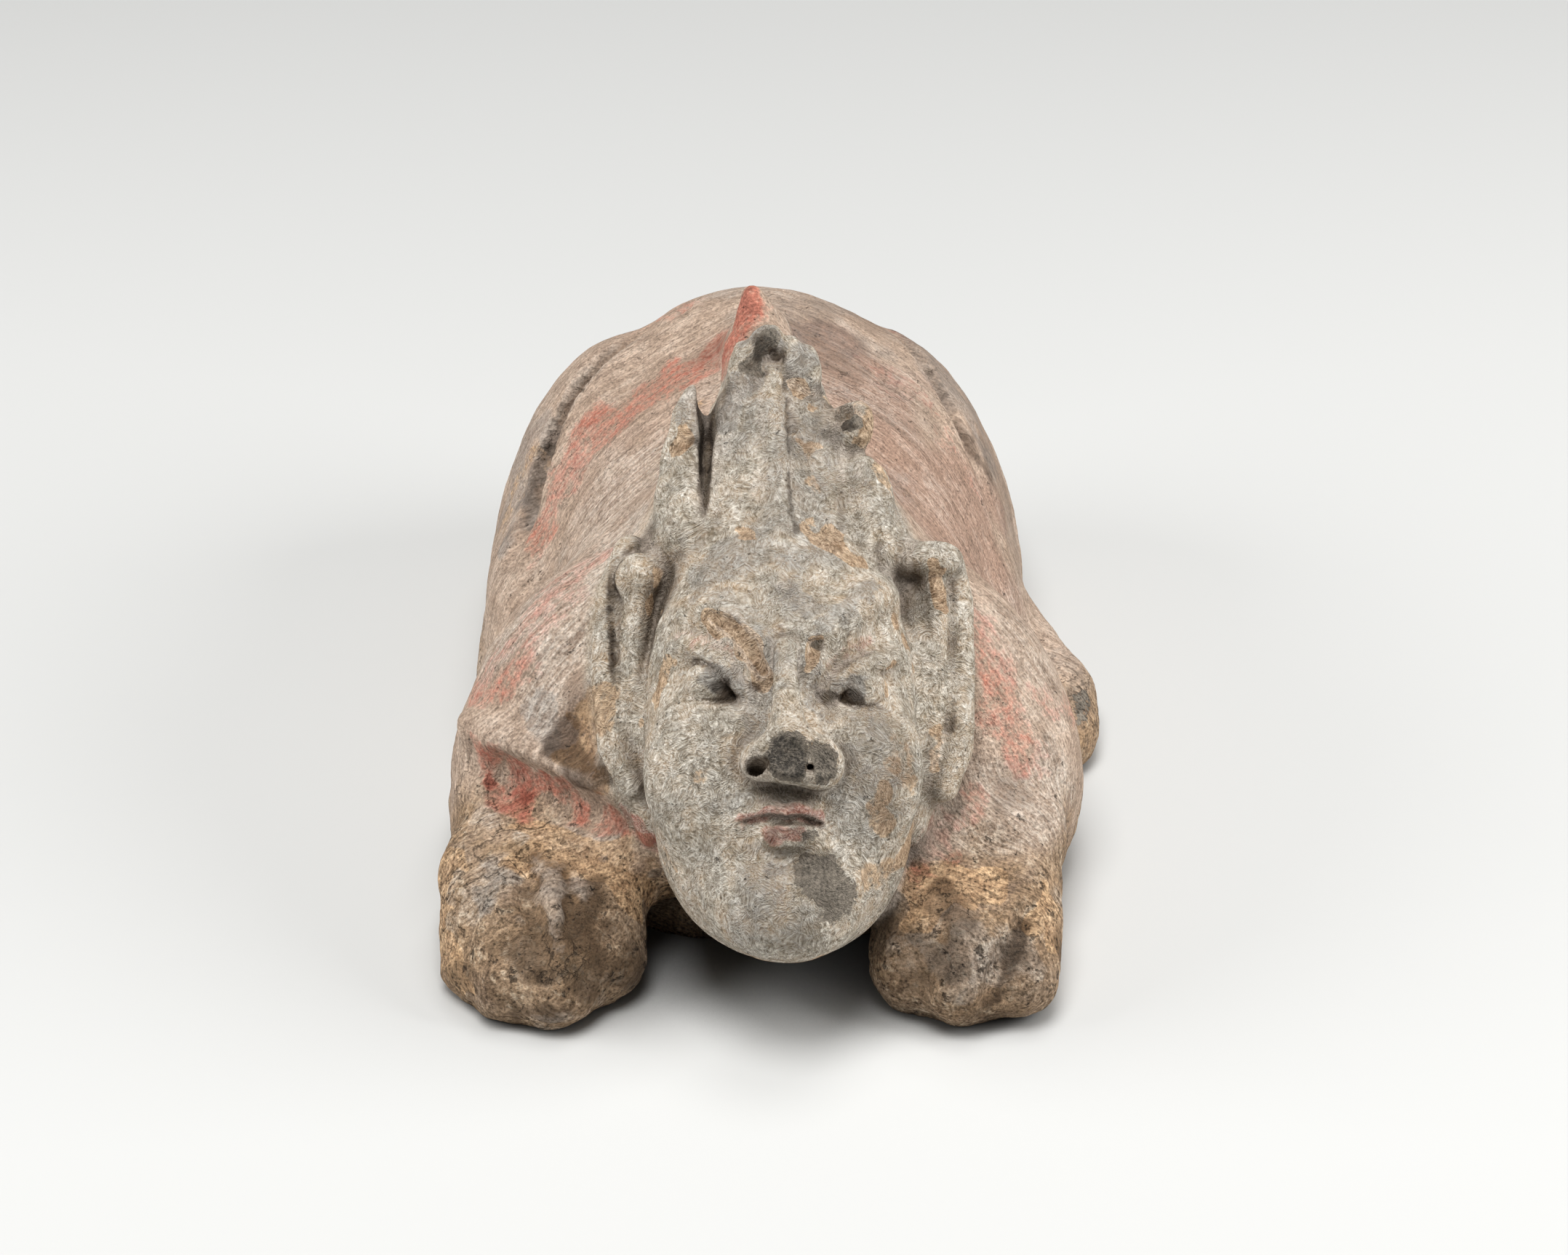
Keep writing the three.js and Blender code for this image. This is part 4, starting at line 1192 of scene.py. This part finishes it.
    # Dark marks: darker patches, and painted shade in furrows, grooves, slots, eye corners and under the
    # chin
    dusky = w.cover(dark, w.blend((0.5, fine), (0.3, middle), (0.2, grain)), 0.3, 0.95, 2.4)
    base = w.mix(w.times(dusky, 0.95), base, DARK_STAIN_AND_SHADE, "MULTIPLY")
    # Worn edges lightened: wear and a painted highlight on ridges
    base = w.mix(w.times(w.cover(wear_and_highlight, fine, 0.3, 1.0), w.without(broken), 0.35), base, LIGHT)

    # Pits and hair cracks
    inputs = {"Vector": w.drifted(place, 1.4, 5), "Scale": 1 / PIT_SPACING}
    cells = w.node("TexVoronoi", inputs, "Distance")
    pit_size = w.times(w.step(other, 0.46, 0.6), w.blend((0.16, low), (1.0, 0.12)))
    pits = w.step(w.math("SUBTRACT", cells, pit_size), 0.05, 0.0)
    ridge = w.math("ABSOLUTE", w.math("SUBTRACT", w.noise(place, 11, 4, 0.55), 0.5))
    cracks = w.times(w.step(ridge, 0.016, 0.006), w.step(broad, 0.5, 0.56), w.without(on_head, 0.7))
    marks = w.math("MAXIMUM", pits, w.times(cracks, w.blend((0.35, 1.0), (0.45, low))))
    base = w.mix(w.times(marks, 0.7), base, PIT)

    # Broad hollows are painted darker: painted shade
    base = w.mix(w.times(hollow, 0.3, w.without(flaked, 0.8)), base, DARK_STAIN_AND_SHADE, "MULTIPLY")

    # The inside of the hollow is dark
    base = w.mix(w.mark("inside"), base, INNER)

    # Small unevenness of tone
    drawn_out = w.choose(on_head, strokes, fibres)
    gritty = w.blend((0.3, fine), (0.4, grain), (0.3, strokes))
    hairy = w.blend((0.35, fine), (0.2, grain), (0.45, fibres))
    tone = w.choose(on_head, gritty, hairy)
    contrast = w.blend((1.4, 1.0), (0.7, low), (0.5, ochre), (-0.1, on_head))
    shade = w.math("ADD", 1.0, w.times(w.math("SUBTRACT", w.step(tone, 0.3, 0.7), 0.5), contrast))
    base = w.mix(1.0, base, shade, "MULTIPLY")

    # Relief: grain, strokes, the slip's thickness and what has flaked off
    raised = w.blend((0.9, fine), (0.5, grain), (0.9, drawn_out), (0.18, covered))
    height = w.math("SUBTRACT", raised, w.blend((0.4, broken), (0.8, marks)))
    relief = w.node("Bump", {"Height": height, "Distance": RELIEF_DEPTH * MM, "Strength": 1.0})

    rough = w.node("MapRange", {"Value": fine, "To Min": LEAST_ROUGH, "To Max": MOST_ROUGH})
    tree.links.new(base, shader.inputs["Base Color"])
    tree.links.new(rough, shader.inputs["Roughness"])
    tree.links.new(relief, shader.inputs["Normal"])
    shader.inputs["Specular IOR Level"].default_value = 0.2
    return material


beast.data.materials.clear()
beast.data.materials.append(clay_material())


# Floor, light and camera
UNDER_REACH = 0.07  # how far from the clay the floor gets a painted shadow under it, in metres
UNDER_SHADE = 0.2  # the share of its tone that the floor keeps in that painted shadow, where the clay closes it in
CLOSED, OPEN = 0.1, 0.5  # shares of open sky between which the floor goes from dark to its own tone


def shadowed_floor_material(name, tone, rough):
    material = bpy.data.materials.new(name)
    material.use_nodes = True
    shader = material.node_tree.nodes["Principled BSDF"]
    shader.inputs["Roughness"].default_value = rough
    w = Weave(material.node_tree)
    # Painted shadow: the floor's colour darkens where the clay closes it in
    open_share = w.node("AmbientOcclusion", {"Distance": UNDER_REACH}, "AO")
    lit = w.blend((1 - UNDER_SHADE, w.step(open_share, CLOSED, OPEN)), (UNDER_SHADE, 1.0))
    material.node_tree.links.new(w.mix(lit, (0, 0, 0, 1), tone), shader.inputs["Base Color"])
    return material


FLOOR_HALF = 4000
FLOOR_CORNERS = np.array([(-1, -1, 0), (1, -1, 0), (1, 1, 0), (-1, 1, 0)], float)
floor = mesh_object("floor", FLOOR_CORNERS * FLOOR_HALF, [(0, 1, 2, 3)])
floor.data.materials.append(shadowed_floor_material("pale_floor", colour(198, 198, 196), 0.9))


LAMP_SIZE = 0.9
SKY_TINT, SKY_STRENGTH = (0.95, 0.98, 1, 1), 0.1


def soft_box(name, place, aim, power):
    light = bpy.data.lights.new(name, "AREA")
    light.shape = "DISK"
    light.size = LAMP_SIZE
    light.energy = power
    made = bpy.data.objects.new(name, light)
    bpy.context.scene.collection.objects.link(made)
    made.location = place
    made.rotation_euler = (Vector(aim) - Vector(place)).to_track_quat("-Z", "Y").to_euler()


soft_box("key", (-0.15, -0.55, 1.85), (0, -0.02, 0), 27)
soft_box("top", (0.2, 0.3, 1.9), (0, -0.02, 0), 10)
soft_box("left", (-1.3, -0.2, 0.75), (0, -0.02, 0.05), 13)
soft_box("right", (1.3, -0.2, 0.75), (0, -0.02, 0.05), 18)
world = bpy.data.worlds.new("studio")
world.use_nodes = True
sky = world.node_tree.nodes["Background"]
sky.inputs["Color"].default_value = SKY_TINT
sky.inputs["Strength"].default_value = SKY_STRENGTH
bpy.context.scene.world = world
bpy.context.scene.view_settings.view_transform = "Standard"

CAMERA_AT = (0.005, -0.99765, 0.6748)
CAMERA_PITCH = 32  # degrees below the horizon
FOCAL_PIXELS, PHOTO_WIDTH, SENSOR = 5540, 2156, 36
camera_data = bpy.data.cameras.new("camera")
camera_data.sensor_width = SENSOR
camera_data.lens = FOCAL_PIXELS / PHOTO_WIDTH * SENSOR
camera = bpy.data.objects.new("camera", camera_data)
bpy.context.scene.collection.objects.link(camera)
camera.location = CAMERA_AT
camera.rotation_euler = (math.radians(90 - CAMERA_PITCH), 0, 0)
bpy.context.scene.camera = camera
